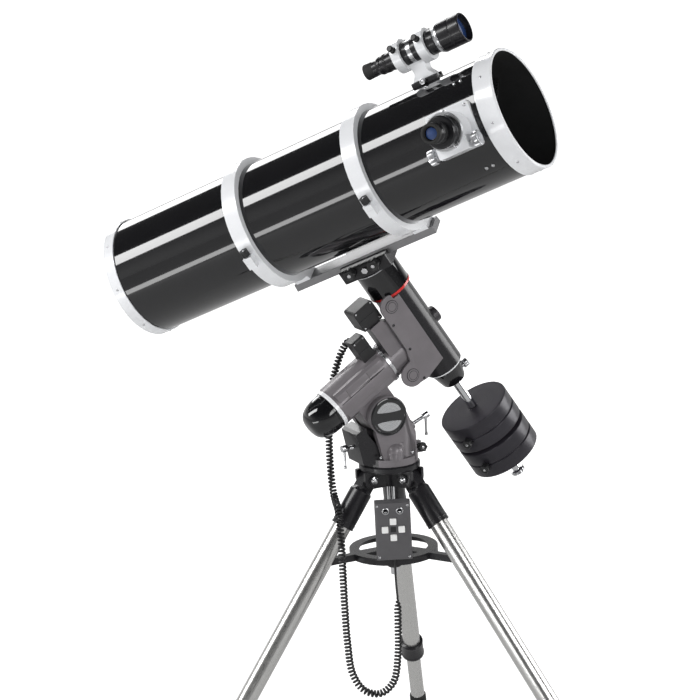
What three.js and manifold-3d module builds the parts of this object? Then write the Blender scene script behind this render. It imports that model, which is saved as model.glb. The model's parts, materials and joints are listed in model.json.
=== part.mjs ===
import * as THREE from 'three';
import { mergeVertices } from 'three/addons/utils/BufferGeometryUtils.js';
import Module from 'manifold-3d';

// Newtonian telescope on a German equatorial mount and a steel tripod.
// Millimetres, +Z up, the three feet on Z = 0.

const wasm = await Module();
wasm.setup();

const GAP = 0.3;
const RUN = 0.8;

// ---------------------------------------------------------------- tripod
const HUB_HEIGHT = 700;
const HUB_R = 62;
const HUB_TOP = 22;
const HUB_PLATE = 13.5;
const HUB_CORE_R = 30;
const PIVOT_R = 48;
const PIVOT_Z = -6;
const TONGUE_R = 14;
const TONGUE_HALF = 15;
const EAR_T = 8;
const EAR_R = 18;
const LEG_PIN_R = 5;
const LEG_SPLAY = 35.5;
const LEG_BEARINGS = [180, -60, 60];
const SLEEVE_R = 23;
const SLEEVE_TOP = 24;
const SLEEVE_END = 108;
const LEG_TUBE_R = 19;
const LEG_BORE_R = 16.2;
const LEG_BORE_TOP = 140;
const LEG_TUBE_END = 650;
const COLLAR_R = 24;
const COLLAR_LENGTH = 44;
const INNER_LEG_R = 15.5;
const INNER_LEG_TOP = 300;
const FOOT_R = 18;
const FOOT_LENGTH = 46;
const LEG_KNOB_R = 14;
const LEG_KNOB_T = 15;
const KNOB_STEM_R = 4;
const ROD_R = 8;
const ROD_END = -215;
const TRAY_TOP = -157;
const TRAY_PLATE = 4;
const TRAY_DEPTH = 14;
const TRAY_R = 90;
const TRAY_RIM = 20;
const TRAY_HUB_R = 34;
const TRAY_ARM = 15;
const TRAY_WALL = 3;
const SPREADER_KNOB_R = 25.5;
const SPREADER_KNOB_T = 18;
const SPREADER_NECK_R = 13.5;
const SPREADER_NECK = 10;

// ---------------------------------------------------------------- shape helpers
const rad = THREE.MathUtils.degToRad;

function toManifold(geometry) {
  const bare = geometry.clone();
  for (const name of Object.keys(bare.attributes)) {
    if (name !== 'position') bare.deleteAttribute(name);
  }
  const merged = mergeVertices(bare, 1e-4);
  const corners = merged.index.array;
  const triangles = [];
  for (let i = 0; i < corners.length; i += 3) {
    const a = corners[i];
    const b = corners[i + 1];
    const c = corners[i + 2];
    if (a !== b && b !== c && c !== a) triangles.push(a, b, c);
  }
  return new wasm.Manifold(new wasm.Mesh({
    numProp: 3,
    vertProperties: Float32Array.from(merged.attributes.position.array),
    triVerts: Uint32Array.from(triangles),
  }));
}

function toGeometry(solid) {
  const mesh = solid.getMesh();
  const geometry = new THREE.BufferGeometry();
  const places = new Float32Array(mesh.numVert * 3);
  for (let i = 0; i < mesh.numVert; i += 1) {
    for (let k = 0; k < 3; k += 1) places[3 * i + k] = mesh.vertProperties[i * mesh.numProp + k];
  }
  geometry.setAttribute('position', new THREE.BufferAttribute(places, 3));
  geometry.setIndex(Array.from(mesh.triVerts));
  geometry.computeVertexNormals();
  return geometry;
}

function join(...geometries) {
  let solid = toManifold(geometries[0]);
  for (const other of geometries.slice(1)) solid = solid.add(toManifold(other));
  return toGeometry(solid);
}

function cut(body, ...tools) {
  let solid = toManifold(body);
  for (const tool of tools) solid = solid.subtract(toManifold(tool));
  return toGeometry(solid);
}

// A profile of [radius, height] points turned about Z.
function revolve(profile, sides = 24) {
  const points = profile.map(([r, z]) => new THREE.Vector2(r, z));
  if (profile[0][0] !== 0) points.push(points[0].clone());
  if (THREE.ShapeUtils.area(points) < 0) points.reverse();
  return new THREE.LatheGeometry(points, sides).rotateX(Math.PI / 2);
}

// A plain round bar on the Z axis.
function rod(r, z0, z1, sides = 24) {
  return revolve([[0, z0], [r, z0], [r, z1], [0, z1]], sides);
}

// A round bar whose edges are bevelled.
function drum(r, z0, z1, bevel = 1.5, sides = 24) {
  return revolve([
    [0, z0], [r - bevel, z0], [r, z0 + bevel], [r, z1 - bevel], [r - bevel, z1], [0, z1],
  ], sides);
}

function box(x0, x1, y0, y1, z0, z1) {
  return new THREE.BoxGeometry(x1 - x0, y1 - y0, z1 - z0)
    .translate((x0 + x1) / 2, (y0 + y1) / 2, (z0 + z1) / 2);
}

// A closed outline with its corners rounded, each corner given as [x, y, radius].
function outline(corners) {
  const shape = new THREE.Shape();
  const count = corners.length;
  corners.forEach(([x, y, r = 0], i) => {
    const [px, py] = corners[(i + count - 1) % count];
    const [nx, ny] = corners[(i + 1) % count];
    const here = new THREE.Vector2(x, y);
    const back = new THREE.Vector2(px - x, py - y).normalize();
    const ahead = new THREE.Vector2(nx - x, ny - y).normalize();
    const half = Math.acos(THREE.MathUtils.clamp(back.dot(ahead), -1, 1)) / 2;
    const reach = r / Math.tan(half);
    const start = here.clone().addScaledVector(back, reach);
    const end = here.clone().addScaledVector(ahead, reach);
    if (i === 0) shape.moveTo(start.x, start.y);
    else shape.lineTo(start.x, start.y);
    if (r > 0) shape.quadraticCurveTo(x, y, end.x, end.y);
  });
  shape.closePath();
  return shape;
}

// An outline in the XY plane drawn out along Z.
function slab(shape, z0, z1, curveSegments = 3) {
  const settings = { depth: z1 - z0, bevelEnabled: false, curveSegments };
  return new THREE.ExtrudeGeometry(shape, settings).translate(0, 0, z0);
}

// An outline given in X and Z, drawn out from y0 to y1.
function plate(shape, y0, y1, curveSegments = 3) {
  return slab(shape, -y1, -y0, curveSegments).rotateX(Math.PI / 2);
}

function disc(cx, cy, r) {
  const shape = new THREE.Shape();
  shape.absarc(cx, cy, r, 0, 2 * Math.PI, false);
  return shape;
}

// Moves a piece built about +Z so that it starts at a point and runs along a direction.
function aim(geometry, from, direction) {
  const turn = new THREE.Quaternion().setFromUnitVectors(
    new THREE.Vector3(0, 0, 1),
    new THREE.Vector3(...direction).normalize(),
  );
  return geometry.applyQuaternion(turn).translate(...from);
}

// A grip with rounded lobes about Z.
function lobed(r, z0, z1, lobes = 6, depth = 0.14) {
  const shape = new THREE.Shape();
  const steps = lobes * 4;
  for (let i = 0; i < steps; i += 1) {
    const a = (2 * Math.PI * i) / steps;
    const here = r * (1 - depth / 2 + (depth / 2) * Math.cos(lobes * a));
    if (i === 0) shape.moveTo(here * Math.cos(a), here * Math.sin(a));
    else shape.lineTo(here * Math.cos(a), here * Math.sin(a));
  }
  shape.closePath();
  return slab(shape, z0, z1, 1);
}

function mesh(name, geometry, color, roughness, metalness) {
  const piece = new THREE.Mesh(
    geometry,
    new THREE.MeshStandardMaterial({ color, roughness, metalness }),
  );
  piece.name = name;
  return piece;
}

const BLACK = [0x17181a, 0.42, 0.1];
const GLOSS = [0x0c0d0f, 0.12, 0.0];
const GREY = [0x4a4c50, 0.5, 0.3];
const DARK = [0x26272a, 0.45, 0.3];
const CHROME = [0xc9ccd0, 0.18, 1.0];
const STEEL = [0xb9bcbf, 0.3, 1.0];
const WHITE = [0xe9eaec, 0.35, 0.0];

// ---------------------------------------------------------------- tripod pieces
const EAR_BOTTOM = PIVOT_Z - EAR_R;
const EAR_IN = TONGUE_HALF + GAP;
const EAR_OUT = EAR_IN + EAR_T;

function legPlace(geometry, bearing) {
  return geometry
    .rotateY(-rad(LEG_SPLAY))
    .translate(PIVOT_R, 0, PIVOT_Z)
    .rotateZ(rad(bearing));
}

function hubGeometry() {
  const plateBottom = HUB_TOP - HUB_PLATE;
  const parts = [
    drum(HUB_R, plateBottom, HUB_TOP, 2.5, 30),
    rod(HUB_CORE_R, EAR_BOTTOM, plateBottom + 2, 24),
    rod(ROD_R, ROD_END, EAR_BOTTOM + 2, 14),
  ];
  parts.push(rod(PEG_R, HUB_TOP - 2, PEG_TOP, 12).translate(PEG_X, 0, 0));
  for (const bearing of LEG_BEARINGS) {
    const ear = outline([
      [HUB_CORE_R - 10, EAR_BOTTOM],
      [PIVOT_R + EAR_R, EAR_BOTTOM, EAR_R - 2],
      [PIVOT_R + EAR_R, plateBottom + 2, 3],
      [HUB_CORE_R - 10, plateBottom + 2],
    ]);
    for (const side of [-1, 1]) {
      const from = side > 0 ? EAR_IN : -EAR_OUT;
      parts.push(plate(ear, from, from + EAR_T).rotateZ(rad(bearing)));
      const head = rod(LEG_PIN_R + 5, EAR_OUT - 1, EAR_OUT + 5, 12);
      head.rotateX((-side * Math.PI) / 2).translate(PIVOT_R, 0, PIVOT_Z);
      parts.push(head.rotateZ(rad(bearing)));
    }
    const pin = rod(LEG_PIN_R, -EAR_OUT, EAR_OUT, 12).rotateX(Math.PI / 2);
    parts.push(pin.translate(PIVOT_R, 0, PIVOT_Z).rotateZ(rad(bearing)));
  }
  return join(...parts);
}

function upperLegGeometry() {
  const tongue = plate(disc(0, 0, TONGUE_R), -TONGUE_HALF, TONGUE_HALF, 10);
  const neck = box(-TONGUE_R, TONGUE_R, -TONGUE_HALF, TONGUE_HALF, -SLEEVE_TOP - 10, 0);
  const sleeve = revolve([
    [0, -SLEEVE_TOP], [SLEEVE_R - 6, -SLEEVE_TOP], [SLEEVE_R, -SLEEVE_TOP - 8],
    [SLEEVE_R, -SLEEVE_END], [0, -SLEEVE_END],
  ], 20);
  const tube = rod(LEG_TUBE_R, -LEG_TUBE_END + 4, -SLEEVE_END + 6, 20);
  const collar = rod(COLLAR_R, -LEG_TUBE_END, -LEG_TUBE_END + COLLAR_LENGTH, 20);
  const knobHole = rod(KNOB_STEM_R + GAP, 0, COLLAR_R + 6, 10).rotateY(Math.PI / 2);
  return cut(
    join(tongue, neck, sleeve, tube, collar),
    rod(LEG_PIN_R + GAP, -SLEEVE_R, SLEEVE_R, 12).rotateX(Math.PI / 2),
    rod(LEG_BORE_R, -LEG_TUBE_END - 1, -LEG_BORE_TOP, 20),
    knobHole.translate(0, 0, -LEG_TUBE_END + COLLAR_LENGTH / 2),
  );
}

function floorBelowLeg() {
  return box(-HUB_HEIGHT, 2 * HUB_HEIGHT, -90, 90, -300, 0)
    .translate(0, 0, -HUB_HEIGHT - PIVOT_Z)
    .rotateY(rad(LEG_SPLAY));
}

function lowerLegGeometry() {
  const reach = (HUB_HEIGHT + PIVOT_Z) / Math.cos(rad(LEG_SPLAY));
  const shaft = rod(INNER_LEG_R, -reach, -INNER_LEG_TOP, 20);
  const foot = revolve([
    [0, -reach - 30], [FOOT_R, -reach - 30], [FOOT_R, -reach + FOOT_LENGTH - 20],
    [FOOT_R - 2, -reach + FOOT_LENGTH], [0, -reach + FOOT_LENGTH],
  ], 20);
  return cut(join(shaft, foot), floorBelowLeg());
}

// A clamp knob about +Z, its stem ending on what it clamps.
function clampKnob(grip, thickness, tip, seat, stem = KNOB_STEM_R, lobes = 6) {
  return join(
    lobed(grip, seat + GAP + 1.5, seat + GAP + 1.5 + thickness, lobes),
    rod(grip * 0.55, seat + GAP, seat + GAP + 2.5, 14),
    rod(stem, tip, seat + GAP + 2, 10),
  );
}

function trayGeometry() {
  const bottom = TRAY_TOP - TRAY_DEPTH;
  const parts = [
    rod(TRAY_R, TRAY_TOP - TRAY_PLATE, TRAY_TOP, 36),
    revolve([
      [TRAY_R - TRAY_WALL, bottom], [TRAY_R - 0.1, bottom],
      [TRAY_R - 0.1, TRAY_TOP - 1], [TRAY_R - TRAY_WALL, TRAY_TOP - 1],
    ], 36),
    rod(ROD_R + 9, bottom, TRAY_TOP - 1, 24),
  ];
  const holes = [rod(ROD_R + GAP, bottom - 1, TRAY_TOP + 1, 14)];
  const openOuter = TRAY_R - TRAY_RIM;
  const armDrop = PIVOT_Z - (TRAY_TOP - TRAY_DEPTH / 2);
  const armEnd = PIVOT_R + armDrop * Math.tan(rad(LEG_SPLAY));
  for (const bearing of LEG_BEARINGS) {
    const arm = box(ROD_R + 4, armEnd, -TRAY_ARM / 2, TRAY_ARM / 2, bottom, TRAY_TOP - 0.05);
    parts.push(arm.rotateZ(rad(bearing)));
    const legSpace = rod(LEG_TUBE_R + GAP, -LEG_TUBE_END, -SLEEVE_END, 20);
    holes.push(legPlace(legSpace, bearing));
    const outer = rad(60) - (TRAY_ARM / 2 + 6) / openOuter;
    const inner = rad(60) - (TRAY_ARM / 2 + 6) / TRAY_HUB_R;
    const opening = new THREE.Shape();
    opening.absarc(0, 0, openOuter, -outer, outer, false);
    opening.absarc(0, 0, TRAY_HUB_R, inner, -inner, true);
    opening.closePath();
    holes.push(slab(opening, bottom - 1, TRAY_TOP + 1, 5).rotateZ(rad(bearing + 60)));
  }
  return cut(join(...parts), ...holes);
}

function spreaderKnobGeometry() {
  const top = TRAY_TOP - TRAY_DEPTH - GAP;
  const body = join(
    lobed(SPREADER_KNOB_R, top - SPREADER_KNOB_T, top, 7, 0.16),
    drum(SPREADER_NECK_R, top - SPREADER_KNOB_T - SPREADER_NECK, top - SPREADER_KNOB_T + 2, 1.5, 24),
  );
  return cut(body, rod(ROD_R + GAP, top - 60, top + 1, 14));
}


// ---------------------------------------------------------------- mount sizes
const LATITUDE = 33;
const ALT_X = -19;
const ALT_Z = 125;
const AXIS_RISE = 73;
const AXIS_REACH = 168;
const CHEEK_IN = 30;
const CHEEK_T = 15;
const CHEEK_R = 41;
const FORK_BASE_R = 58;
const FORK_BASE_T = 14.7;
const ALT_PIN_R = 8;
const LUG_R = 38;
const BADGE_R = 38;
const BADGE_T = 4;
const PEG_X = 53.5;
const PEG_R = 5;
const PEG_TOP = 58;
const AZ_RANGE = 9;
const AZ_KNOB_Z = 51;
const AZ_BLOCK_IN = 17;
const AZ_BLOCK_T = 10;
const BOLT_R = 4;
const FRONT_BOLT = [31, 78.4];
const FRONT_BOLT_TILT = 24;
const FRONT_BOLT_LENGTH = 66;
const REAR_BOLT = [-66, 62];
const REAR_BOLT_LENGTH = 38;
const HANDLE_LENGTH = 42;
const HANDLE_R = 3;
const RA_R = 41;
const RA_REAR = -236;
const RA_FRONT = -104;
const RA_FLAT_HALF = 38;
const RA_SHAFT_R = 16;
const RA_SHAFT_LENGTH = 62;
const RING_T = 8;
const CIRCLE_R = 43;
const CIRCLE_T = 6;
const CAP_LENGTH = 58;
const CAP_SPIGOT_R = 32;
const CAP_SPIGOT = 8;
const DEC_BASE_R = 39.5;
const DEC_R = 40;
const DEC_TOP = 112;
const DEC_BOTTOM = -85;
const NOSE_END = -133;
const NOSE_R = 24;
const DEC_SHAFT_R = 14;
const DEC_SHAFT_END = 60;
const DEC_HEAD_R = 44;
const DEC_HEAD_TOP = 178;
const COVER_T = 6;
const BORE_TOP = -8;
const BAR_R = 9;
const BAR_TOP = -20;
const BAR_END = -390;
const STOP_R = 15;
const WEIGHT_R = 75;
const WEIGHT_T = 61;
const WEIGHT_1_TOP = -206;
const WEIGHT_2_TOP = -275;
const WEIGHT_KNOB_ANGLE = 215;
const SADDLE_TOP = 205;
const SADDLE_LENGTH = 110;
const SADDLE_WIDTH = 86;
const CHANNEL_FLOOR = 194;

const PIN_END = CHEEK_IN + CHEEK_T;
const PIVOT_IN_AXES = [-AXIS_REACH, -AXIS_RISE];

function aboutX(geometry) {
  return geometry.rotateY(Math.PI / 2);
}

function frontBoltAt(distance) {
  const tilt = rad(FRONT_BOLT_TILT);
  return [FRONT_BOLT[0] + distance * Math.cos(tilt), 0, FRONT_BOLT[1] + distance * Math.sin(tilt)];
}

function forkGeometry() {
  const bottom = HUB_TOP + GAP;
  const top = bottom + FORK_BASE_T;
  const cheek = outline([
    [-31, bottom + 5], [41, bottom + 5], [40, 86, 6], [22, 128, 6], [ALT_X, 150],
    [-56, 128, 4], [-48, 96, 8],
  ]);
  const web = outline([
    [-48, bottom + 6], [-73, bottom + 8], [-86, 94], [-79, 99], [-63, 106], [-61, 92, 6], [-44, 70, 8],
    [-30, 56], [-30, bottom + 6],
  ]);
  const front = outline([[26, bottom + 6], [42, bottom + 6], [40, 86, 4], [28, 92], [26, 70, 4]]);
  const parts = [
    rod(FORK_BASE_R, bottom, top, 30),
    plate(web, -CHEEK_IN - 4, CHEEK_IN + 4),
    plate(front, -CHEEK_IN - 2, CHEEK_IN + 2),
    rod(ALT_PIN_R, -PIN_END, PIN_END, 14).rotateX(Math.PI / 2).translate(ALT_X, 0, ALT_Z),
    aim(rod(10, 0, 24, 12), frontBoltAt(3), [Math.cos(rad(FRONT_BOLT_TILT)), 0,
      Math.sin(rad(FRONT_BOLT_TILT))]),
  ];
  for (const side of [-1, 1]) {
    const from = side > 0 ? CHEEK_IN : -PIN_END;
    parts.push(plate(cheek, from, from + CHEEK_T));
    parts.push(plate(disc(ALT_X, ALT_Z, CHEEK_R), from, from + CHEEK_T, 12));
    const boss = rod(19, top - 2, 68, 18);
    parts.push(boss.translate(-7, side * (PIN_END - 5), 0));
    const badge = rod(BADGE_R, PIN_END - 1, PIN_END + BADGE_T, 24);
    badge.rotateX((-side * Math.PI) / 2).translate(ALT_X, 0, ALT_Z);
    if (side < 0) parts.push(badge);
    const block = box(PEG_X - 10, PEG_X + 6, AZ_BLOCK_IN, AZ_BLOCK_IN + AZ_BLOCK_T, top - 1, AZ_KNOB_Z + 9);
    parts.push(side > 0 ? block : block.rotateX(0).translate(0, -2 * AZ_BLOCK_IN - AZ_BLOCK_T, 0));
  }
  const pegSweep = (PEG_X + PEG_R) * Math.sin(rad(AZ_RANGE));
  const pegSpace = outline([
    [PEG_X - PEG_R - 2, -PEG_R - pegSweep, 2], [PEG_X + PEG_R + 2, -PEG_R - pegSweep, 2],
    [PEG_X + PEG_R + 2, PEG_R + pegSweep, 2], [PEG_X - PEG_R - 2, PEG_R + pegSweep, 2],
  ]);
  const stems = rod(BOLT_R + GAP, -60, 60, 10).rotateX(Math.PI / 2).translate(PEG_X, 0, AZ_KNOB_Z);
  const frontDirection = [Math.cos(rad(FRONT_BOLT_TILT)), 0, Math.sin(rad(FRONT_BOLT_TILT))];
  const insideFront = box(20, 80, -AZ_BLOCK_IN, AZ_BLOCK_IN, top + 1, PEG_TOP + 3);
  return cut(
    join(...parts),
    slab(pegSpace, bottom - 1, PEG_TOP + 3),
    insideFront,
    stems,
    aim(rod(BOLT_R + GAP, -12, 60, 10), frontBoltAt(0), frontDirection),
    aim(rod(BOLT_R + GAP, -40, 40, 10), [REAR_BOLT[0], 0, REAR_BOLT[1]], [-1, 0, 0]),
  );
}

// A bolt along +Z with a bent handle hanging from its outer end.
function latitudeBolt(length, droop) {
  const handle = rod(HANDLE_R, 0, HANDLE_LENGTH, 12);
  const away = [Math.sin(rad(droop)), 0, Math.cos(rad(droop))];
  return join(
    rod(BOLT_R, 0, length, 10),
    rod(BOLT_R + 3, length - 12, length, 12),
    aim(handle, [0, 0, length - 6], away),
  );
}

function raHousingGeometry() {
  const [px, pz] = PIVOT_IN_AXES;
  const lug = join(
    plate(disc(px, pz, LUG_R), -CHEEK_IN + GAP, CHEEK_IN - GAP, 12),
    box(px - LUG_R, px + LUG_R, -CHEEK_IN + GAP, CHEEK_IN - GAP, pz, -10),
  );
  const body = aboutX(revolve([
    [0, RA_REAR - RING_T - CAP_SPIGOT], [CAP_SPIGOT_R, RA_REAR - RING_T - CAP_SPIGOT],
    [CAP_SPIGOT_R, RA_REAR - RING_T], [RA_R, RA_REAR - RING_T], [RA_R + 1, RA_REAR - RING_T + 1],
    [RA_R + 1, RA_REAR], [RA_R, RA_REAR], [RA_R, RA_FRONT - 2], [CIRCLE_R, RA_FRONT],
    [CIRCLE_R, RA_FRONT + CIRCLE_T], [0, RA_FRONT + CIRCLE_T],
  ], 30));
  const flats = outline([
    [-RA_FLAT_HALF, -26, 4], [RA_FLAT_HALF, -26, 4], [RA_FLAT_HALF, 28], [RA_FLAT_HALF - 5, 34],
    [-RA_FLAT_HALF + 5, 34], [-RA_FLAT_HALF, 28],
  ]);
  const sides = slab(flats, RA_REAR + 6, RA_FRONT - 8).rotateX(Math.PI / 2).rotateZ(Math.PI / 2);
  return cut(
    join(body, lug, sides),
    aboutX(rod(RA_SHAFT_R + 0.5, RA_FRONT + CIRCLE_T - RA_SHAFT_LENGTH - 2, RA_FRONT + 20, 20)),
    rod(ALT_PIN_R + GAP, -60, 60, 14).rotateX(Math.PI / 2).translate(px, 0, pz),
  );
}

function polarCapGeometry() {
  const face = RA_REAR - RING_T - GAP;
  const profile = [[0, face], [RA_R - 1, face]];
  for (let i = 0; i <= 5; i += 1) {
    const a = (i / 5) * (Math.PI / 2);
    profile.push([(RA_R - 1) * Math.cos(a) ** 0.6, face - 14 - (CAP_LENGTH - 14) * Math.sin(a)]);
  }
  profile[profile.length - 1][0] = 0;
  return cut(
    aboutX(revolve(profile, 24)),
    aboutX(rod(CAP_SPIGOT_R + GAP, face - CAP_SPIGOT, face + 2, 24)),
  );
}

function raMotorGeometry() {
  const shape = outline([[-20, 28], [15, 28], [15, 85, 5], [-20, 85, 5]]);
  const body = slab(shape, -137, -107).rotateX(Math.PI / 2).rotateZ(Math.PI / 2);
  return cut(body, aboutX(rod(RA_R + GAP, -200, -100, 30)));
}

// A short friction lever: a hub on a stem, with a tapered arm.
function clutchLever(seat) {
  const arm = outline([[-5, -6, 3], [6, -6, 3], [4, 30, 3.5], [-4, 30, 3.5]]);
  return join(
    rod(7, seat + GAP, seat + 12, 14),
    slab(arm, seat + 5, seat + 11),
  );
}

function decHousingGeometry() {
  const body = revolve([
    [0, NOSE_END], [NOSE_R, NOSE_END], [NOSE_R + 2, NOSE_END + 4], [DEC_R - 5, DEC_BOTTOM - 10],
    [DEC_R - 3, DEC_BOTTOM - 7], [DEC_R, DEC_BOTTOM - 7], [DEC_R, DEC_TOP], [0, DEC_TOP],
  ], 24);
  const baseRear = RA_FRONT + CIRCLE_T + 0.5;
  const base = aboutX(rod(DEC_BASE_R, baseRear, -10, 24));
  const shaftRear = RA_FRONT + CIRCLE_T - RA_SHAFT_LENGTH;
  const shaft = aboutX(rod(RA_SHAFT_R, shaftRear, baseRear + 2, 20));
  const panel = outline([[-92, 9, 4], [-60, 9], [-30, 9], [-30, 60], [-60, 84], [-64, 89.7], [-92, 89.7, 2]]);
  const frontCap = aboutX(drum(17, DEC_R - 8, DEC_R + 10, 2, 16)).translate(0, 0, 7);
  return cut(
    join(body, base, shaft, plate(panel, -36, -6), frontCap),
    rod(BAR_R + GAP, NOSE_END - 1, BORE_TOP, 24),
    rod(DEC_SHAFT_R + 0.5, DEC_SHAFT_END, DEC_TOP + 1, 24),
    rod(BOLT_R + GAP, 0, 80, 10).rotateY(Math.PI / 2).translate(0, 0, NOSE_END + 12),
  );
}

function coverPlateGeometry() {
  const face = -DEC_R - GAP;
  const shape = new THREE.Shape();
  shape.moveTo(-6, 111.5);
  shape.lineTo(-20.5, 111.5);
  shape.absarc(-33, 101, 24, rad(62), rad(180), false);
  shape.lineTo(-59, 10);
  shape.lineTo(-66, -15);
  shape.absarc(-78, -41, 24, rad(95), rad(280), false);
  shape.lineTo(-55, -68);
  shape.lineTo(-7, -58);
  shape.closePath();
  const bosses = [[-33, 101], [-78, -41]].map(([x, z]) => plate(disc(x, z, 12.5), face - COVER_T - 1.5,
    face - 1, 8));
  return join(plate(shape, face - COVER_T, face, 8), ...bosses);
}

function decMotorGeometry() {
  const shape = outline([[-103, 90, 3], [-55, 90, 3], [-55, 136, 6], [-103, 136, 6]]);
  return plate(shape, -30, 15);
}

function decHeadGeometry() {
  const bottom = DEC_TOP + RUN;
  const head = revolve([
    [0, DEC_SHAFT_END + 1], [DEC_SHAFT_R, DEC_SHAFT_END + 1], [DEC_SHAFT_R, bottom],
    [DEC_HEAD_R + 1, bottom], [DEC_HEAD_R + 1, bottom + 5], [DEC_HEAD_R, bottom + 5],
    [DEC_HEAD_R, DEC_HEAD_TOP - 3], [DEC_HEAD_R - 3, DEC_HEAD_TOP], [0, DEC_HEAD_TOP],
  ], 24);
  const half = SADDLE_WIDTH / 2;
  const long = SADDLE_LENGTH / 2;
  const block = outline([
    [-long, -half, 5], [long, -half, 5], [long, half, 5], [-long, half, 5],
  ]);
  const tapered = outline([
    [-half, DEC_HEAD_TOP - 1], [half, DEC_HEAD_TOP - 1], [half, SADDLE_TOP - 4],
    [half - 4, SADDLE_TOP], [-half + 4, SADDLE_TOP], [-half, SADDLE_TOP - 4],
  ]);
  const jaw = slab(tapered, -long, long).rotateX(Math.PI / 2).rotateZ(Math.PI / 2);
  const saddle = toGeometry(
    toManifold(slab(block, DEC_HEAD_TOP - 1, SADDLE_TOP)).intersect(toManifold(jaw)),
  );
  const holes = [-1, 1].map((side) => rod(BOLT_R + GAP, 10, half + 5, 10)
    .rotateX(Math.PI / 2).translate(side * SADDLE_KNOB_X, 0, SADDLE_KNOB_Z));
  return cut(join(head, saddle), dovetailSpace(), ...holes);
}

// ---------------------------------------------------------------- optical tube sizes
const DEC_ANGLE = -45;
const TUBE_R = 117.5;
// The rings stand this far over the saddle, so the axis rises with the tube.
const TUBE_AXIS = TUBE_R + 232.5;
const TUBE_WALL = 2;
const TUBE_FRONT = 450;
const TUBE_REAR = -455;
const RING_SPACING = 280;
const RING_WIDTH = 32;
const BAND_T = 13.2;
const RING_FOOT = 44;
const BAR_LENGTH = 330;
const BAR_BOTTOM = CHANNEL_FLOOR + GAP;
const BAR_T = 15;
const BAR_WIDE = 44;
const BAR_NARROW = 38;
const SADDLE_KNOB_X = 28;
const SADDLE_KNOB_Z = 199.3;
const END_RING_T = 3;
const FRONT_RING_R = TUBE_R + END_RING_T;
const FRONT_RING_WIDTH = 40;
const REAR_RING_WIDTH = 24;
const MIRROR_R = 100;
const MIRROR_X = -400;
const MIRROR_T = 25;
const SPIDER_X = 380;
const VANE_T = 1.6;
const VANE_DEPTH = 24;
const FOCUSER_X = 355;
const FOCUSER_ANGLE = 60;
const DRAW_R = 27.5;
const DRAW_BORE = 25.4;
const EYE_BORE = 15.9;
const FOCUSER_PLATE_HALF_X = 46;
const FOCUSER_PLATE_HALF_Y = 44;
const FOCUSER_PLATE_TOP = TUBE_R + 4.5;
const FOCUSER_PLATE_DEPTH = 24;
const FOCUSER_BODY_R = 36;
const FOCUSER_RISE = 47.5;
const FOCUSER_TOP = TUBE_R + FOCUSER_RISE;
const PINION_DROP = 22;
const PINION_Z = FOCUSER_TOP - PINION_DROP;
const PINION_CASE_HALF = 32;
const PINION_CASE_Y = 45;
const DRAW_BOTTOM = TUBE_R - 5.5;
const FINDER_ANGLE = -22;
const FINDER_HEIGHT = 64.5;
const FINDER_RISE = TUBE_R + FINDER_HEIGHT;
const FINDER_FRONT = 410;
const FINDER_REAR = 188;
const FINDER_R = 24;
const BRACKET_X = 296;
const HINGE_R = 6;
const HINGE_Y = TUBE_R + GAP + BAND_T + HINGE_R + 0.5;
const CLAMP_Y = TUBE_R + GAP + BAND_T + 10;

// The dovetail profile across X, widened by a clearance on its two flanks and floor.
function dovetail(x0, x1, clearance) {
  const shape = outline([
    [-BAR_WIDE / 2 - clearance, BAR_BOTTOM - clearance],
    [BAR_WIDE / 2 + clearance, BAR_BOTTOM - clearance],
    [BAR_NARROW / 2 + clearance, BAR_BOTTOM + BAR_T + clearance],
    [-BAR_NARROW / 2 - clearance, BAR_BOTTOM + BAR_T + clearance],
  ]);
  return slab(shape, x0, x1).rotateX(Math.PI / 2).rotateZ(Math.PI / 2);
}

function dovetailSpace() {
  return dovetail(-SADDLE_LENGTH, SADDLE_LENGTH, GAP);
}

function barGeometry() {
  const stop = drum(STOP_R, BAR_END, BAR_END + 9, 1.5, 24);
  return join(stop, drum(BAR_R, BAR_END + 7, BAR_TOP, 1, 24));
}

function weightGeometry(top) {
  const mid = top - WEIGHT_T / 2;
  const body = revolve([
    [0, top - WEIGHT_T], [WEIGHT_R, top - WEIGHT_T], [WEIGHT_R, mid - 1.5], [WEIGHT_R - 1.5, mid],
    [WEIGHT_R, mid + 1.5], [WEIGHT_R, top], [0, top],
  ], 32);
  const knobHole = rod(BOLT_R + GAP, 0, WEIGHT_R + 5, 10).rotateY(Math.PI / 2);
  return cut(
    body,
    rod(BAR_R + GAP, top - WEIGHT_T - 1, top + 1, 24),
    knobHole.translate(0, 0, mid).rotateZ(rad(WEIGHT_KNOB_ANGLE)),
  );
}

// ---------------------------------------------------------------- optical tube pieces
function tubeGeometry() {
  const outer = rod(TUBE_R, TUBE_REAR, TUBE_FRONT, 48);
  const shoe = slab(outline([
    [BRACKET_X - 28, -15, 3], [BRACKET_X + 28, -15, 3], [BRACKET_X + 28, 15, 3], [BRACKET_X - 28, 15, 3],
  ]), TUBE_R - 1, TUBE_R + 9);
  const shoeSlot = slab(outline([
    [-9 - GAP, TUBE_R + 3], [9 + GAP, TUBE_R + 3], [6 + GAP, TUBE_R + 10], [-6 - GAP, TUBE_R + 10],
  ]), BRACKET_X - 40, BRACKET_X + 40).rotateX(Math.PI / 2).rotateZ(Math.PI / 2);
  return cut(
    join(aboutX(outer), cut(shoe, shoeSlot).rotateX(rad(FINDER_ANGLE))),
    aboutX(rod(TUBE_R - TUBE_WALL, TUBE_REAR - 1, TUBE_FRONT + 1, 48)),
    rod(DRAW_R + 1.5, TUBE_R / 2, TUBE_R + 10, 20).translate(FOCUSER_X, 0, 0).rotateX(rad(FOCUSER_ANGLE)),
  );
}

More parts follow.
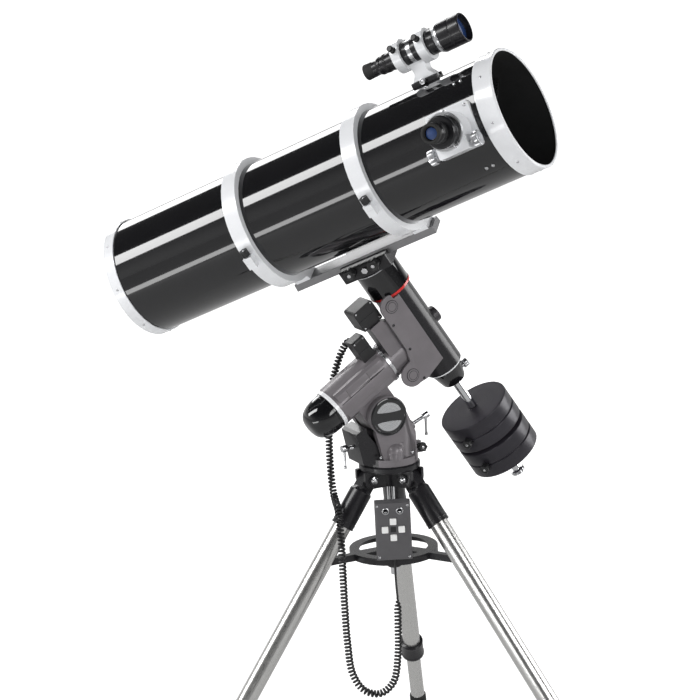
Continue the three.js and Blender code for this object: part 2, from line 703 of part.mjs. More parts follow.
function frontRingGeometry() {
  const lip = TUBE_R - TUBE_WALL - 1.5;
  return aboutX(revolve([
    [TUBE_R + GAP, TUBE_FRONT + 3 - FRONT_RING_WIDTH], [FRONT_RING_R, TUBE_FRONT + 3 - FRONT_RING_WIDTH],
    [FRONT_RING_R, TUBE_FRONT + 3], [lip, TUBE_FRONT + 3], [lip, TUBE_FRONT + GAP],
    [TUBE_R + GAP, TUBE_FRONT + GAP],
  ], 48));
}

function rearCellGeometry() {
  const back = TUBE_REAR - GAP - 4;
  const shell = aboutX(revolve([
    [0, back], [FRONT_RING_R, back], [FRONT_RING_R, back + REAR_RING_WIDTH],
    [TUBE_R + GAP, back + REAR_RING_WIDTH], [TUBE_R + GAP, TUBE_REAR - GAP], [0, TUBE_REAR - GAP],
  ], 48));
  const parts = [shell];
  const holes = [];
  for (let i = 0; i < 3; i += 1) {
    const post = rod(9, TUBE_REAR - 2, MIRROR_X - MIRROR_T - GAP, 10).translate(0, MIRROR_R * 0.7, 0);
    parts.push(aboutX(post.rotateZ(rad(120 * i))));
    const screw = rod(10, back - 10, back + 1, 10).translate(0, MIRROR_R * 0.7, 0);
    parts.push(aboutX(screw.rotateZ(rad(120 * i))));
    const vent = rod(16, back - 2, TUBE_REAR + 1, 10).translate(0, MIRROR_R * 0.5, 0);
    holes.push(aboutX(vent.rotateZ(rad(120 * i + 60))));
  }
  return cut(join(...parts), ...holes);
}

function mirrorGeometry() {
  const back = MIRROR_X - MIRROR_T;
  return aboutX(revolve([
    [0, back], [MIRROR_R, back], [MIRROR_R, MIRROR_X], [MIRROR_R * 0.5, MIRROR_X - 1.3],
    [0, MIRROR_X - 1.8],
  ], 32));
}

function spiderGeometry() {
  const parts = [aboutX(drum(20, SPIDER_X - 12, SPIDER_X + 14, 1.5, 14))];
  const reach = TUBE_R - TUBE_WALL - GAP;
  for (let i = 0; i < 4; i += 1) {
    const vane = box(SPIDER_X - VANE_DEPTH / 2, SPIDER_X + VANE_DEPTH / 2, -VANE_T / 2, VANE_T / 2,
      10, reach - 0.4);
    parts.push(vane.rotateX(rad(FOCUSER_ANGLE + 45 + 90 * i)));
  }
  const slant = box(-80, 0, -60, 60, -60, 60).rotateY(rad(-45));
  const holder = cut(
    aboutX(rod(25, FOCUSER_X - 24, SPIDER_X - 14, 24)),
    slant.translate(FOCUSER_X, 0, 0),
  );
  const neck = aboutX(rod(8, FOCUSER_X + 10, SPIDER_X, 10));
  parts.push(join(holder, neck).rotateX(rad(FOCUSER_ANGLE)));
  return join(...parts);
}

function ringBand(upper) {
  const outer = TUBE_R + GAP + BAND_T;
  const band = aboutX(revolve([
    [TUBE_R + GAP, -RING_WIDTH / 2], [outer, -RING_WIDTH / 2], [outer, RING_WIDTH / 2],
    [TUBE_R + GAP, RING_WIDTH / 2],
  ], 48));
  const other = box(-60, 60, -200, 200, upper ? -200 : -GAP / 2, upper ? GAP / 2 : 200);
  return cut(band, other);
}

function ringHinge(upper) {
  const inner = TUBE_R + BAND_T - 4;
  const z0 = upper ? GAP / 2 : -HINGE_R;
  const z1 = upper ? HINGE_R : -GAP / 2;
  const parts = [];
  const spans = upper ? [[-5.7, 5.7]] : [[-14, -6], [6, 14]];
  for (const [x0, x1] of spans) {
    parts.push(aboutX(rod(HINGE_R, x0, x1, 12)).translate(0, HINGE_Y, 0));
    parts.push(box(x0, x1, inner, HINGE_Y, z0, z1));
  }
  if (!upper) parts.push(aboutX(rod(2.5, -13, 13, 12)).translate(0, HINGE_Y, 0));
  return parts;
}

function ringLowerGeometry() {
  const outer = TUBE_R + GAP + BAND_T;
  const footBottom = BAR_BOTTOM + BAR_T + GAP - TUBE_AXIS;
  const foot = outline([
    [-RING_FOOT / 2, footBottom], [RING_FOOT / 2, footBottom], [RING_FOOT / 2 + 6, -outer + 5],
    [-RING_FOOT / 2 - 6, -outer + 5],
  ]);
  const stand = slab(foot, -RING_WIDTH / 2, RING_WIDTH / 2).rotateX(Math.PI / 2).rotateZ(Math.PI / 2);
  const lug = box(-9, 9, -CLAMP_Y - 7, -outer + 4, -14, -GAP / 2);
  return cut(
    join(ringBand(false), cut(stand, aboutX(rod(TUBE_R + 2, -40, 40, 48))), lug, ...ringHinge(false)),
    rod(4.2, -9, 3, 10).translate(0, -CLAMP_Y, 0),
  );
}

function ringUpperGeometry() {
  const outer = TUBE_R + GAP + BAND_T;
  const lug = box(-9, 9, -CLAMP_Y - 7, -outer + 4, GAP / 2, 12);
  return cut(
    join(ringBand(true), lug, ...ringHinge(true)),
    rod(3.3, -1, 14, 10).translate(0, -CLAMP_Y, 0),
    aboutX(rod(2.8, -15, 15, 12)).translate(0, HINGE_Y, 0),
  );
}

function focuserGeometry() {
  const [px, py] = [FOCUSER_PLATE_HALF_X, FOCUSER_PLATE_HALF_Y];
  const basePlate = slab(
    outline([[-px, -py, 8], [px, -py, 8], [px, py, 8], [-px, py, 8]]),
    FOCUSER_PLATE_TOP - FOCUSER_PLATE_DEPTH, FOCUSER_PLATE_TOP,
  );
  const seat = FOCUSER_PLATE_TOP - 4;
  const body = rod(FOCUSER_BODY_R, seat, FOCUSER_TOP, 24);
  const half = PINION_CASE_HALF;
  const pinion = slab(outline([
    [-half, -PINION_CASE_Y, 4], [half, -PINION_CASE_Y, 4], [half, -20], [-half, -20],
  ]), seat, PINION_Z + 13);
  const tubeSpace = aboutX(rod(TUBE_R + GAP, -2 * px, 2 * px, 48));
  return cut(
    join(basePlate, body, pinion),
    tubeSpace,
    rod(DRAW_R + GAP, 60, FOCUSER_TOP + 5, 20),
    aboutX(rod(3 + GAP, -60, 60, 10)).translate(0, -PINION_Y, PINION_Z),
  );
}

const PINION_Y = DRAW_R + GAP + 5;

function drawtubeGeometry() {
  const top = FOCUSER_TOP + 20;
  return revolve([
    [DRAW_BORE, DRAW_BOTTOM], [DRAW_R, DRAW_BOTTOM], [DRAW_R, FOCUSER_TOP + 3], [31, FOCUSER_TOP + 3], [31, top - 2],
    [29, top], [EYE_BORE, top], [EYE_BORE, top - 14], [DRAW_BORE, top - 14],
  ], 20);
}

function focusKnobsGeometry() {
  const parts = [rod(3, -53, 53, 10)];
  for (const side of [-1, 1]) {
    const knob = drum(15, 37.5, 54, 1.5, 14);
    parts.push(side > 0 ? knob : knob.rotateX(Math.PI));
  }
  return aboutX(join(...parts));
}

function eyepieceGeometry() {
  const seat = FOCUSER_TOP + 20 + GAP;
  return revolve([
    [0, seat - 18], [EYE_BORE - GAP, seat - 18], [EYE_BORE - GAP, seat], [20, seat], [20, seat + 22],
    [17, seat + 25], [19, seat + 32], [19, seat + 40], [13, seat + 40], [11, seat + 35], [0, seat + 35],
  ], 24);
}

function finderGeometry() {
  return aboutX(revolve([
    [0, FINDER_REAR + 4], [12, FINDER_REAR], [15, FINDER_REAR], [15, FINDER_REAR + 28],
    [18, FINDER_REAR + 34], [18, FINDER_REAR + 56], [FINDER_R, FINDER_REAR + 84],
    [FINDER_R, FINDER_FRONT - 62], [29, FINDER_FRONT - 50], [29, FINDER_FRONT], [26, FINDER_FRONT],
    [26, FINDER_FRONT - 14], [0, FINDER_FRONT - 12],
  ], 20));
}

function finderBracketGeometry() {
  const foot = slab(outline([
    [-9, TUBE_R + 3 + GAP], [9, TUBE_R + 3 + GAP], [6, TUBE_R + 10], [-6, TUBE_R + 10],
  ]), BRACKET_X - 24, BRACKET_X + 24).rotateX(Math.PI / 2).rotateZ(Math.PI / 2);
  const stalk = outline([
    [BRACKET_X - 24, TUBE_R + 9.4], [BRACKET_X + 24, TUBE_R + 9.4], [BRACKET_X + 14, TUBE_R + 22, 8],
    [BRACKET_X + 16, FINDER_RISE - 26, 8], [BRACKET_X + 36, FINDER_RISE - 20],
    [BRACKET_X - 36, FINDER_RISE - 20], [BRACKET_X - 16, FINDER_RISE - 26, 8],
    [BRACKET_X - 14, TUBE_R + 22, 8],
  ]);
  const parts = [foot, plate(stalk, -12, 12)];
  for (const side of [-1, 1]) {
    const x = BRACKET_X + side * 27;
    parts.push(aboutX(rod(FINDER_R + 8, x - 9, x + 9, 20)).translate(0, 0, FINDER_RISE));
    for (const turn of [60, -60, 180]) {
      if (turn === 180) continue;
      const screw = rod(5, FINDER_R + 7, FINDER_R + 22, 8).rotateX(rad(turn));
      parts.push(screw.translate(x, 0, FINDER_RISE));
    }
  }
  const finderSpace = aboutX(rod(FINDER_R + GAP, BRACKET_X - 60, BRACKET_X + 60, 20));
  return cut(join(...parts), finderSpace.translate(0, 0, FINDER_RISE));
}

function dovetailGeometry() {
  return dovetail(-BAR_LENGTH / 2, BAR_LENGTH / 2, 0).translate(0, 0, -TUBE_AXIS);
}

// ---------------------------------------------------------------- handset and its cord
const CASE_BEARING = -115;
const CASE_IN = 66;
const CASE_T = 30;
const CASE_HALF = 35.5;
const CASE_LENGTH = 117;
const CASE_BOTTOM = TRAY_TOP + GAP;
const BUTTON = 13;
const BUTTON_REACH = 16.5;
const BUTTON_TRAVEL = 1.5;
const BUTTON_PROUD = 2.5;
const BUTTON_Z = CASE_BOTTOM + CASE_LENGTH / 2 + 4;
const SWITCH_Y = 14;
const SWITCH_Z = BUTTON_Z + 38;
const CORD_R = 8.5;

const BUTTONS = {
  button_up: [0, BUTTON_REACH],
  button_down: [0, -BUTTON_REACH],
  button_left: [-BUTTON_REACH, 0],
  button_right: [BUTTON_REACH, 0],
};

function controllerGeometry() {
  const face = CASE_IN + CASE_T;
  const shape = outline([
    [CASE_IN, -CASE_HALF, 5], [face, -CASE_HALF, 4], [face, CASE_HALF, 4], [CASE_IN, CASE_HALF, 5],
  ]);
  const holes = [];
  for (const [y, z] of Object.values(BUTTONS)) {
    const half = BUTTON / 2 + GAP;
    holes.push(box(face - 7, face + 1, y - half, y + half, BUTTON_Z + z - half, BUTTON_Z + z + half));
  }
  for (const side of [-1, 1]) {
    const well = revolve([[0, face - 8], [3.4, face - 8], [5.5, face + 1], [0, face + 1]], 12);
    holes.push(aboutX(well).translate(0, side * SWITCH_Y, SWITCH_Z));
  }
  return cut(slab(shape, CASE_BOTTOM, CASE_BOTTOM + CASE_LENGTH, 4), ...holes);
}

const CORD_POINTS = [
  [-57, 15.4, 271], [-57.5, 30, 271], [-61, 43, 264], [-68, 51, 248], [-78, 53, 225],
  [-92, 53, 185], [-100, 52, 145], [-106, 50, 100], [-109, 47, 55], [-112, 40, 10],
  [-116, 24, -30], [-121, 3, -46], [-128, -20, -52], [-136, -42, -74], [-141, -56, -112],
  [-143, -60, -170], [-143, -60, -240], [-141, -60, -320], [-134, -62, -385], [-115, -71, -420],
  [-88, -86, -428], [-64, -100, -405], [-53, -105, -350], [-48, -103, -280], [-45, -100, -228],
];
const LEAD_POINTS = [[-45, -100, -232], [-43.5, -94, -208], [-39.6, -84.6, -186], [-39.3, -84.3, -157]];

function cordTube(points, radius, steps, sides) {
  const curve = new THREE.CatmullRomCurve3(
    points.map(([x, y, z]) => new THREE.Vector3(x, y, z)),
    false,
    'centripetal',
  );
  return new THREE.ExtrudeGeometry(disc(0, 0, radius), {
    steps, extrudePath: curve, curveSegments: sides / 2, bevelEnabled: false,
  });
}

function cordGeometry() {
  return join(cordTube(CORD_POINTS, CORD_R, 46, 8), cordTube(LEAD_POINTS, 2.5, 8, 8));
}

// ---------------------------------------------------------------- assembly
const model = new THREE.Group();
model.name = 'telescope';
const tripod = new THREE.Group();
tripod.position.z = HUB_HEIGHT;
model.add(tripod);

tripod.add(mesh('tripod_hub', hubGeometry(), ...BLACK));
LEG_BEARINGS.forEach((bearing, i) => {
  const n = i + 1;
  const root = new THREE.Group();
  root.rotation.z = rad(bearing);
  const leg = new THREE.Group();
  leg.position.set(PIVOT_R, 0, PIVOT_Z);
  leg.rotation.y = -rad(LEG_SPLAY);
  root.add(leg);
  tripod.add(root);
  leg.add(mesh(`upper_leg_${n}`, upperLegGeometry(), ...STEEL));
  leg.add(mesh(`lower_leg_${n}`, lowerLegGeometry(), ...STEEL));
  const knob = mesh(
    `leg_knob_${n}`,
    clampKnob(LEG_KNOB_R, LEG_KNOB_T, INNER_LEG_R + GAP, COLLAR_R),
    ...BLACK,
  );
  knob.rotation.y = Math.PI / 2;
  knob.position.z = -LEG_TUBE_END + COLLAR_LENGTH / 2;
  leg.add(knob);
});
tripod.add(mesh('spreader', trayGeometry(), ...BLACK));
tripod.add(mesh('spreader_knob', spreaderKnobGeometry(), ...BLACK));

function group(parent, x, y, z) {
  const node = new THREE.Group();
  node.position.set(x, y, z);
  parent.add(node);
  return node;
}

const peg = PEG_R + GAP;
const fork = group(tripod, 0, 0, 0);
fork.add(mesh('fork', forkGeometry(), ...GREY));
for (const [n, side] of [[1, -1], [2, 1]]) {
  const seat = AZ_BLOCK_IN + AZ_BLOCK_T + 8;
  const knob = mesh(`azimuth_knob_${n}`, clampKnob(10, 12, peg, seat), ...BLACK);
  knob.rotation.x = (-side * Math.PI) / 2;
  knob.position.set(PEG_X, 0, AZ_KNOB_Z);
  fork.add(knob);
}
const frontBolt = mesh('latitude_bolt_front', latitudeBolt(FRONT_BOLT_LENGTH, 90 + FRONT_BOLT_TILT), ...CHROME);
frontBolt.rotation.y = rad(90 - FRONT_BOLT_TILT);
frontBolt.position.set(FRONT_BOLT[0], 0, FRONT_BOLT[1]);
fork.add(frontBolt);
const rearBolt = mesh('latitude_bolt_rear', latitudeBolt(REAR_BOLT_LENGTH, -90), ...CHROME);
rearBolt.rotation.y = -Math.PI / 2;
rearBolt.position.set(REAR_BOLT[0], 0, REAR_BOLT[1]);
fork.add(rearBolt);
fork.add(mesh('curly_cord', cordGeometry(), ...BLACK));

const altitude = group(fork, ALT_X, 0, ALT_Z);
altitude.rotation.y = -rad(LATITUDE);
const polar = group(altitude, AXIS_REACH, 0, AXIS_RISE);
polar.add(mesh('ra_housing', raHousingGeometry(), ...GREY));
polar.add(mesh('polar_cap', polarCapGeometry(), ...GLOSS));
polar.add(mesh('ra_motor', raMotorGeometry(), ...BLACK));
const raClutchAt = group(polar, -128, 0, 12);
raClutchAt.rotation.y = Math.PI / 2;
const raClutch = mesh('ra_clutch', clutchLever(RA_R), ...CHROME);
raClutch.rotation.x = -Math.PI / 2;
raClutchAt.add(raClutch);

const ra = group(polar, 0, 0, 0);
ra.add(mesh('dec_housing', decHousingGeometry(), ...GREY));
ra.add(mesh('cover_plate', coverPlateGeometry(), ...GREY));
ra.add(mesh('dec_motor', decMotorGeometry(), ...BLACK));
const decClutch = mesh('dec_clutch', clutchLever(DEC_R), ...CHROME);
decClutch.rotation.x = -Math.PI / 2;
decClutch.position.set(0, 0, 92);
ra.add(decClutch);
const lockKnob = mesh('shaft_lock_knob', clampKnob(9, 12, BAR_R + GAP, 31), ...CHROME);
lockKnob.rotation.y = Math.PI / 2;
lockKnob.position.set(0, 0, NOSE_END + 12);
ra.add(lockKnob);
ra.add(mesh('counterweight_shaft', barGeometry(), ...CHROME));
[WEIGHT_1_TOP, WEIGHT_2_TOP].forEach((top, i) => {
  ra.add(mesh(`counterweight_${i + 1}`, weightGeometry(top), ...DARK));
  const at = group(ra, 0, 0, top - WEIGHT_T / 2);
  at.rotation.z = rad(WEIGHT_KNOB_ANGLE);
  const knob = mesh(`weight_knob_${i + 1}`, clampKnob(10, 13, BAR_R + GAP, WEIGHT_R), ...BLACK);
  knob.rotation.y = Math.PI / 2;
  at.add(knob);
});

const dec = group(ra, 0, 0, 0);
dec.rotation.z = rad(DEC_ANGLE);
dec.add(mesh('dec_head', decHeadGeometry(), ...GLOSS));
for (const [n, side] of [[1, -1], [2, 1]]) {
  const tip = BAR_WIDE / 2 + GAP;
  const knob = mesh(`saddle_knob_${n}`, clampKnob(13, 16, tip, SADDLE_WIDTH / 2), ...BLACK);
  knob.rotation.x = Math.PI / 2;
  knob.position.set(side * SADDLE_KNOB_X, 0, SADDLE_KNOB_Z);
  dec.add(knob);
}

const carriage = group(dec, 0, 0, TUBE_AXIS);
carriage.add(mesh('dovetail_bar', dovetailGeometry(), ...GREY));
[[1, RING_SPACING / 2], [2, -RING_SPACING / 2]].forEach(([n, x]) => {
  const at = group(carriage, x, 0, 0);
  at.add(mesh(`ring_lower_${n}`, ringLowerGeometry(), ...WHITE));
  at.add(mesh(`ring_upper_${n}`, ringUpperGeometry(), ...WHITE));
  const knob = mesh(`ring_knob_${n}`, clampKnob(9, 14, -8, 12, 3), ...BLACK);
  knob.position.set(0, -CLAMP_Y, 0);
  at.add(knob);
});

const ota = group(carriage, 0, 0, 0);
ota.add(mesh('tube', tubeGeometry(), ...GLOSS));
ota.add(mesh('front_ring', frontRingGeometry(), ...WHITE));
ota.add(mesh('rear_cell', rearCellGeometry(), ...WHITE));
ota.add(mesh('primary_mirror', mirrorGeometry(), ...CHROME));
ota.add(mesh('spider', spiderGeometry(), ...BLACK));
const focus = group(ota, FOCUSER_X, 0, 0);
focus.rotation.x = rad(FOCUSER_ANGLE);
focus.add(mesh('focuser', focuserGeometry(), ...WHITE));
focus.add(mesh('drawtube', drawtubeGeometry(), ...BLACK));
focus.add(mesh('eyepiece', eyepieceGeometry(), ...BLACK));
const knobs = mesh('focus_knobs', focusKnobsGeometry(), ...CHROME);
knobs.position.set(0, -PINION_Y, PINION_Z);
focus.add(knobs);
const sight = group(ota, 0, 0, 0);
sight.rotation.x = rad(FINDER_ANGLE);
sight.add(mesh('finder_bracket', finderBracketGeometry(), ...WHITE));
const finder = mesh('finder', finderGeometry(), ...BLACK);
finder.position.set(0, 0, FINDER_RISE);
sight.add(finder);

const handset = group(tripod, 0, 0, 0);
handset.rotation.z = rad(CASE_BEARING);
handset.add(mesh('controller', controllerGeometry(), ...GREY));
const face = CASE_IN + CASE_T;
for (const [name, [y, z]] of Object.entries(BUTTONS)) {
  const half = BUTTON / 2;
  const key = slab(outline([
    [-half, -half, 2], [half, -half, 2], [half, half, 2], [-half, half, 2],
  ]), -7 + BUTTON_TRAVEL + 2 * GAP, BUTTON_PROUD, 3);
  const button = mesh(name, key, ...WHITE);
  button.rotation.y = Math.PI / 2;
  button.position.set(face, y, BUTTON_Z + z);
  handset.add(button);
}
for (const [n, side] of [[1, -1], [2, 1]]) {
  const lever = join(rod(2.2, -4, 9, 8), rod(2.6, -6.5, -2.5, 8));
  const toggle = mesh(`switch_${n}`, lever, ...CHROME);
  toggle.rotation.y = Math.PI / 2;
  toggle.position.set(face, side * SWITCH_Y, SWITCH_Z);
  handset.add(toggle);
}

// The origin lies on the floor, under the middle of everything but the cord.
model.updateMatrixWorld(true);
const whole = new THREE.Box3();
model.traverse((piece) => {
  if (piece.isMesh && piece.name !== 'curly_cord') whole.expandByObject(piece, true);
});
const middle = whole.getCenter(new THREE.Vector3());
model.position.set(-middle.x, -middle.y, 0);

export default model;
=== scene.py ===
# %% [markdown]
# # A reflecting telescope on an equatorial mount
# The object is a short, fat tube held in two hinged rings, on a mount head with two
# turning axes, on a tripod with three telescoping steel legs.
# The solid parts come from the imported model, and this script gives them their looks:
# rounded edges, turned and knurled surfaces, screws, glass, paint and polish.
# Everything is built in millimetres in the frame of the part that it belongs to, and is
# then put in place by that frame.

# %% Load the frame
import json
import math

import bmesh
import bpy
from mathutils import Matrix, Vector

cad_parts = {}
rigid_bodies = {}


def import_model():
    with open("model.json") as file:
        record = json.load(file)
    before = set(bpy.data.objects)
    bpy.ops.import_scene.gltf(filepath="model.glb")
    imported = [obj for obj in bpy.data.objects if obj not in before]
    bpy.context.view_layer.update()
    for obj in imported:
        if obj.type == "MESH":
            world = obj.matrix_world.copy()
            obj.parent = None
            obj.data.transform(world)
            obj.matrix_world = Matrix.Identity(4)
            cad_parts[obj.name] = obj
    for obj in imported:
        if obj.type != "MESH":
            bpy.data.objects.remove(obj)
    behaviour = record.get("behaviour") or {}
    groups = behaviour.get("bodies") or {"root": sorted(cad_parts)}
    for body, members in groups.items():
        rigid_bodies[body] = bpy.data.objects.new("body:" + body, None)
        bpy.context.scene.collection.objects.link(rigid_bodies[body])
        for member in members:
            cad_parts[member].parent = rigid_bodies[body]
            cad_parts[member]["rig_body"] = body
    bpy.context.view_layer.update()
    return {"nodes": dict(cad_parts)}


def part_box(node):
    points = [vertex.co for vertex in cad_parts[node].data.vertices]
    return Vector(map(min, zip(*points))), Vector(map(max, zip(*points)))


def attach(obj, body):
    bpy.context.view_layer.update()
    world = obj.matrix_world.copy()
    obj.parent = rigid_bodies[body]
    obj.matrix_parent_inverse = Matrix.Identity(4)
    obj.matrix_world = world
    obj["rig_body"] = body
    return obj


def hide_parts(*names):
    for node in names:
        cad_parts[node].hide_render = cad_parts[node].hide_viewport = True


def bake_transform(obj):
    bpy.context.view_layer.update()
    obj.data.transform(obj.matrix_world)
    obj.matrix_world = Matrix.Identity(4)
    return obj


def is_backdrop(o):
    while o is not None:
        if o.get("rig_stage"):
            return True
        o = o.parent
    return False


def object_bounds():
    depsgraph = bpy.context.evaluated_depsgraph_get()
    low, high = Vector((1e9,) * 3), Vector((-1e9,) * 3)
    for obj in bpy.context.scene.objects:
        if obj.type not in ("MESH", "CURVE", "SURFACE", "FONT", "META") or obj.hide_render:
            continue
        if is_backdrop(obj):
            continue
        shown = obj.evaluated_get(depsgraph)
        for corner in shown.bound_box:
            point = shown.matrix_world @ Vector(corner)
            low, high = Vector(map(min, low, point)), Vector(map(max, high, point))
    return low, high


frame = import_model()
MM = 0.001


def body_of(node):
    """The moving body that a solid belongs to."""
    return frame["nodes"][node]["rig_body"]


# %% [markdown]
# A mount is a chain of turned frames: the tripod's hub, the tilted polar axis on it, the
# declination axis across that, and the tube on top.
# Each is a matrix made from the one before, so a piece is drawn about its own axis,
# where its sizes are easy to read, and it comes out in the right place.
# The hub's place is read from its solid, so that nothing has to be fitted by eye.

# %% Frames of the chain
HUB_REACH = 66
HUB_HEIGHT = 700
LEG_BEARINGS = [180, -60, 60]
LEG_SPLAY = 35.5
LATITUDE = 33
DEC_ANGLE = -45
TUBE_AXIS = 350
RING_SPACING = 280
FOCUSER_X = 355
FOCUSER_ANGLE = 60
FINDER_ANGLE = -22
FINDER_HEIGHT = 182
HANDSET_ANGLE = -115


def move(x, y, z):
    """A shift given in millimetres."""
    return Matrix.Translation((x * MM, y * MM, z * MM))


def turn(degrees, axis):
    """A turn about one of the frame's own axes."""
    return Matrix.Rotation(math.radians(degrees), 4, axis)


HUB = move(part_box("tripod_hub")[0].x / MM + HUB_REACH, 0, HUB_HEIGHT)
LEGS = [HUB @ turn(b, "Z") @ move(48, 0, -6) @ turn(-LEG_SPLAY, "Y") for b in LEG_BEARINGS]
POLAR = HUB @ move(-19, 0, 125) @ turn(-LATITUDE, "Y") @ move(168, 0, 73)
DEC = POLAR @ turn(DEC_ANGLE, "Z")
TUBE = DEC @ move(0, 0, TUBE_AXIS)
RINGS = [TUBE @ move(RING_SPACING / 2, 0, 0), TUBE @ move(-RING_SPACING / 2, 0, 0)]
FOCUS = TUBE @ move(FOCUSER_X, 0, 0) @ turn(FOCUSER_ANGLE, "X")
SIGHT = TUBE @ turn(FINDER_ANGLE, "X")
FINDER = SIGHT @ move(0, 0, FINDER_HEIGHT)
HANDSET = HUB @ turn(HANDSET_ANGLE, "Z")
ALONG_X = turn(90, "Y")
print("hub at", [round(v, 4) for v in HUB.translation])

# %% [markdown]
# A long lens from far away keeps the tube's two ends the same size, as a catalogue
# picture does. The camera looks down a little, and it is rolled by a few degrees.
# Its turn is built from three directions, right, up and back, because that makes the
# roll a single number.

# %% Camera
VIEW_AZIMUTH = -25
VIEW_ELEVATION = 12.5
VIEW_ROLL = 3
VIEW_DISTANCE = 5.0
VIEW_LENS = 128
HUB_BELOW_MIDDLE = 0.243
HUB_LEFT_OF_MIDDLE = -0.08

azimuth = math.radians(VIEW_AZIMUTH)
elevation = math.radians(VIEW_ELEVATION)
roll = math.radians(VIEW_ROLL)
view_back = Vector((math.sin(azimuth) * math.cos(elevation),
                    -math.cos(azimuth) * math.cos(elevation), math.sin(elevation)))
level_right = Vector((math.cos(azimuth), math.sin(azimuth), 0))
level_up = view_back.cross(level_right)
view_right = level_right * math.cos(roll) - level_up * math.sin(roll)
view_up = level_up * math.cos(roll) + level_right * math.sin(roll)
look_at = HUB.translation + view_up * HUB_BELOW_MIDDLE + view_right * HUB_LEFT_OF_MIDDLE
camera = bpy.data.objects.new("camera", bpy.data.cameras.new("camera"))
bpy.context.collection.objects.link(camera)
camera.data.lens = VIEW_LENS
camera.data.clip_end = 50
camera.matrix_world = Matrix.Translation(look_at + view_back * VIEW_DISTANCE) @ Matrix(
    (view_right, view_up, view_back)).transposed().to_4x4()
bpy.context.scene.camera = camera
print("camera at", [round(v, 3) for v in camera.matrix_world.translation])

# %% [markdown]
# Next come the tools of the bench: a lathe that turns a profile of radius and height
# about an axis, a saw that draws an outline out to a thickness, and a helper that puts
# what they made in place, rounds its edges and shades it.
# Working with bmesh keeps each shape a few lines long and gives clean, closed meshes.

# %% Bench tools
SHARP = 32


def finish_mesh(name, bm, place, body, paint, edge=0.0, segments=2, sharp=SHARP):
    """Turns a bmesh in millimetres into a piece with rounded edges that rides on a body."""
    bmesh.ops.scale(bm, vec=(MM, MM, MM), verts=bm.verts)
    bmesh.ops.recalc_face_normals(bm, faces=bm.faces)
    mesh = bpy.data.meshes.new(name)
    bm.to_mesh(mesh)
    bm.free()
    piece = bpy.data.objects.new(name, mesh)
    bpy.context.collection.objects.link(piece)
    piece.matrix_world = place
    mesh.shade_smooth()
    mesh.set_sharp_from_angle(angle=math.radians(sharp))
    if edge:
        rounding = piece.modifiers.new("rounded edges", "BEVEL")
        rounding.width = edge * MM
        rounding.segments = segments
        rounding.limit_method = "ANGLE"
        rounding.angle_limit = math.radians(sharp)
        rounding.harden_normals = True
    mesh.materials.append(paint)
    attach(piece, body)
    return piece


def circle(radius, count, start=0):
    """Evenly spread points of a circle, from a starting angle."""
    return [(radius * math.cos(math.radians(start) + 2 * math.pi * i / count),
             radius * math.sin(math.radians(start) + 2 * math.pi * i / count))
            for i in range(count)]


def arc(radius, degrees, height=0):
    """Points of a circle whose middle is at a height, at the given angles."""
    return [(radius * math.cos(math.radians(a)), height + radius * math.sin(math.radians(a)))
            for a in degrees]


def skin(bm, low, high):
    """Joins two rings of points with faces. Either may be a single point on the axis."""
    count = max(len(low), len(high))
    for i in range(count):
        j = (i + 1) % count
        corners = dict.fromkeys((low[i % len(low)], low[j % len(low)],
                                 high[j % len(high)], high[i % len(high)]))
        if len(corners) > 2:
            bm.faces.new(list(corners))


def lathe(bm, profile, sides=64, base=None):
    """Turns a profile of (radius, height) about Z. A closed ring starts and ends off the axis."""
    base = base or Matrix.Identity(4)
    rows = []
    for r, z in profile:
        ring = circle(r, sides) if r > 1e-6 else [(0, 0)]
        rows.append([bm.verts.new(base @ Vector((x, y, z))) for x, y in ring])
    closed = len(rows[0]) > 1
    for low, high in zip(rows, rows[1:] + rows[:1] if closed else rows[1:]):
        skin(bm, low, high)
    return bm


def soften(profile, radius, steps=3):
    """Rounds the inner corners of a profile, so that turned edges catch the light."""
    made = [profile[0]]
    for before, here, after in zip(profile, profile[1:], profile[2:]):
        p, q, s = Vector(before), Vector(here), Vector(after)
        back, on = p - q, s - q
        bend = back.angle(on, math.pi) if back.length and on.length else math.pi
        if bend > math.radians(165):
            made.append(here)
            continue
        reach = min(radius, back.length * 0.45, on.length * 0.45)
        start, end = q + back.normalized() * reach, q + on.normalized() * reach
        for k in range(steps + 1):
            t = k / steps
            made.append(tuple(start * (1 - t) ** 2 + q * 2 * t * (1 - t) + end * t * t))
    made.append(profile[-1])
    return made


def turned(name, place, body, paint, profile, soft=0.0, sides=64, steps=3):
    """Turns one profile into a piece of its own. Without softening its corners stay sharp."""
    bm = bmesh.new()
    lathe(bm, soften(profile, soft, steps) if soft else profile, sides)
    return finish_mesh(name, bm, place, body, paint)


def turned_at(seats, name, place, body, paint, profile, soft, sides):
    """The same turned form at several seats, as one piece."""
    bm = bmesh.new()
    for seat in seats:
        lathe(bm, soften(profile, soft), sides, base_mm(seat))
    return finish_mesh(name, bm, place, body, paint)


def drawn_out(bm, outline, low, high, base=None):
    """Draws an outline in XY out along Z."""
    base = base or Matrix.Identity(4)
    bottom = [bm.verts.new(base @ Vector((x, y, low))) for x, y in outline]
    top = [bm.verts.new(base @ Vector((x, y, high))) for x, y in outline]
    bm.faces.new(bottom[::-1])
    bm.faces.new(top)
    skin(bm, bottom, top)
    return bm


def rounded(x0, x1, y0, y1, radius, steps=5):
    """A rectangle with round corners."""
    made = []
    for cx, cy, start in ((x1 - radius, y1 - radius, 0), (x0 + radius, y1 - radius, 90),
                          (x0 + radius, y0 + radius, 180), (x1 - radius, y0 + radius, 270)):
        for k in range(steps + 1):
            a = math.radians(start + 90 * k / steps)
            made.append((cx + radius * math.cos(a), cy + radius * math.sin(a)))
    return made


def base_mm(matrix):
    """A placing matrix in metres, for use on a mesh that is still in millimetres."""
    made = matrix.copy()
    made.translation = made.translation / MM
    return made


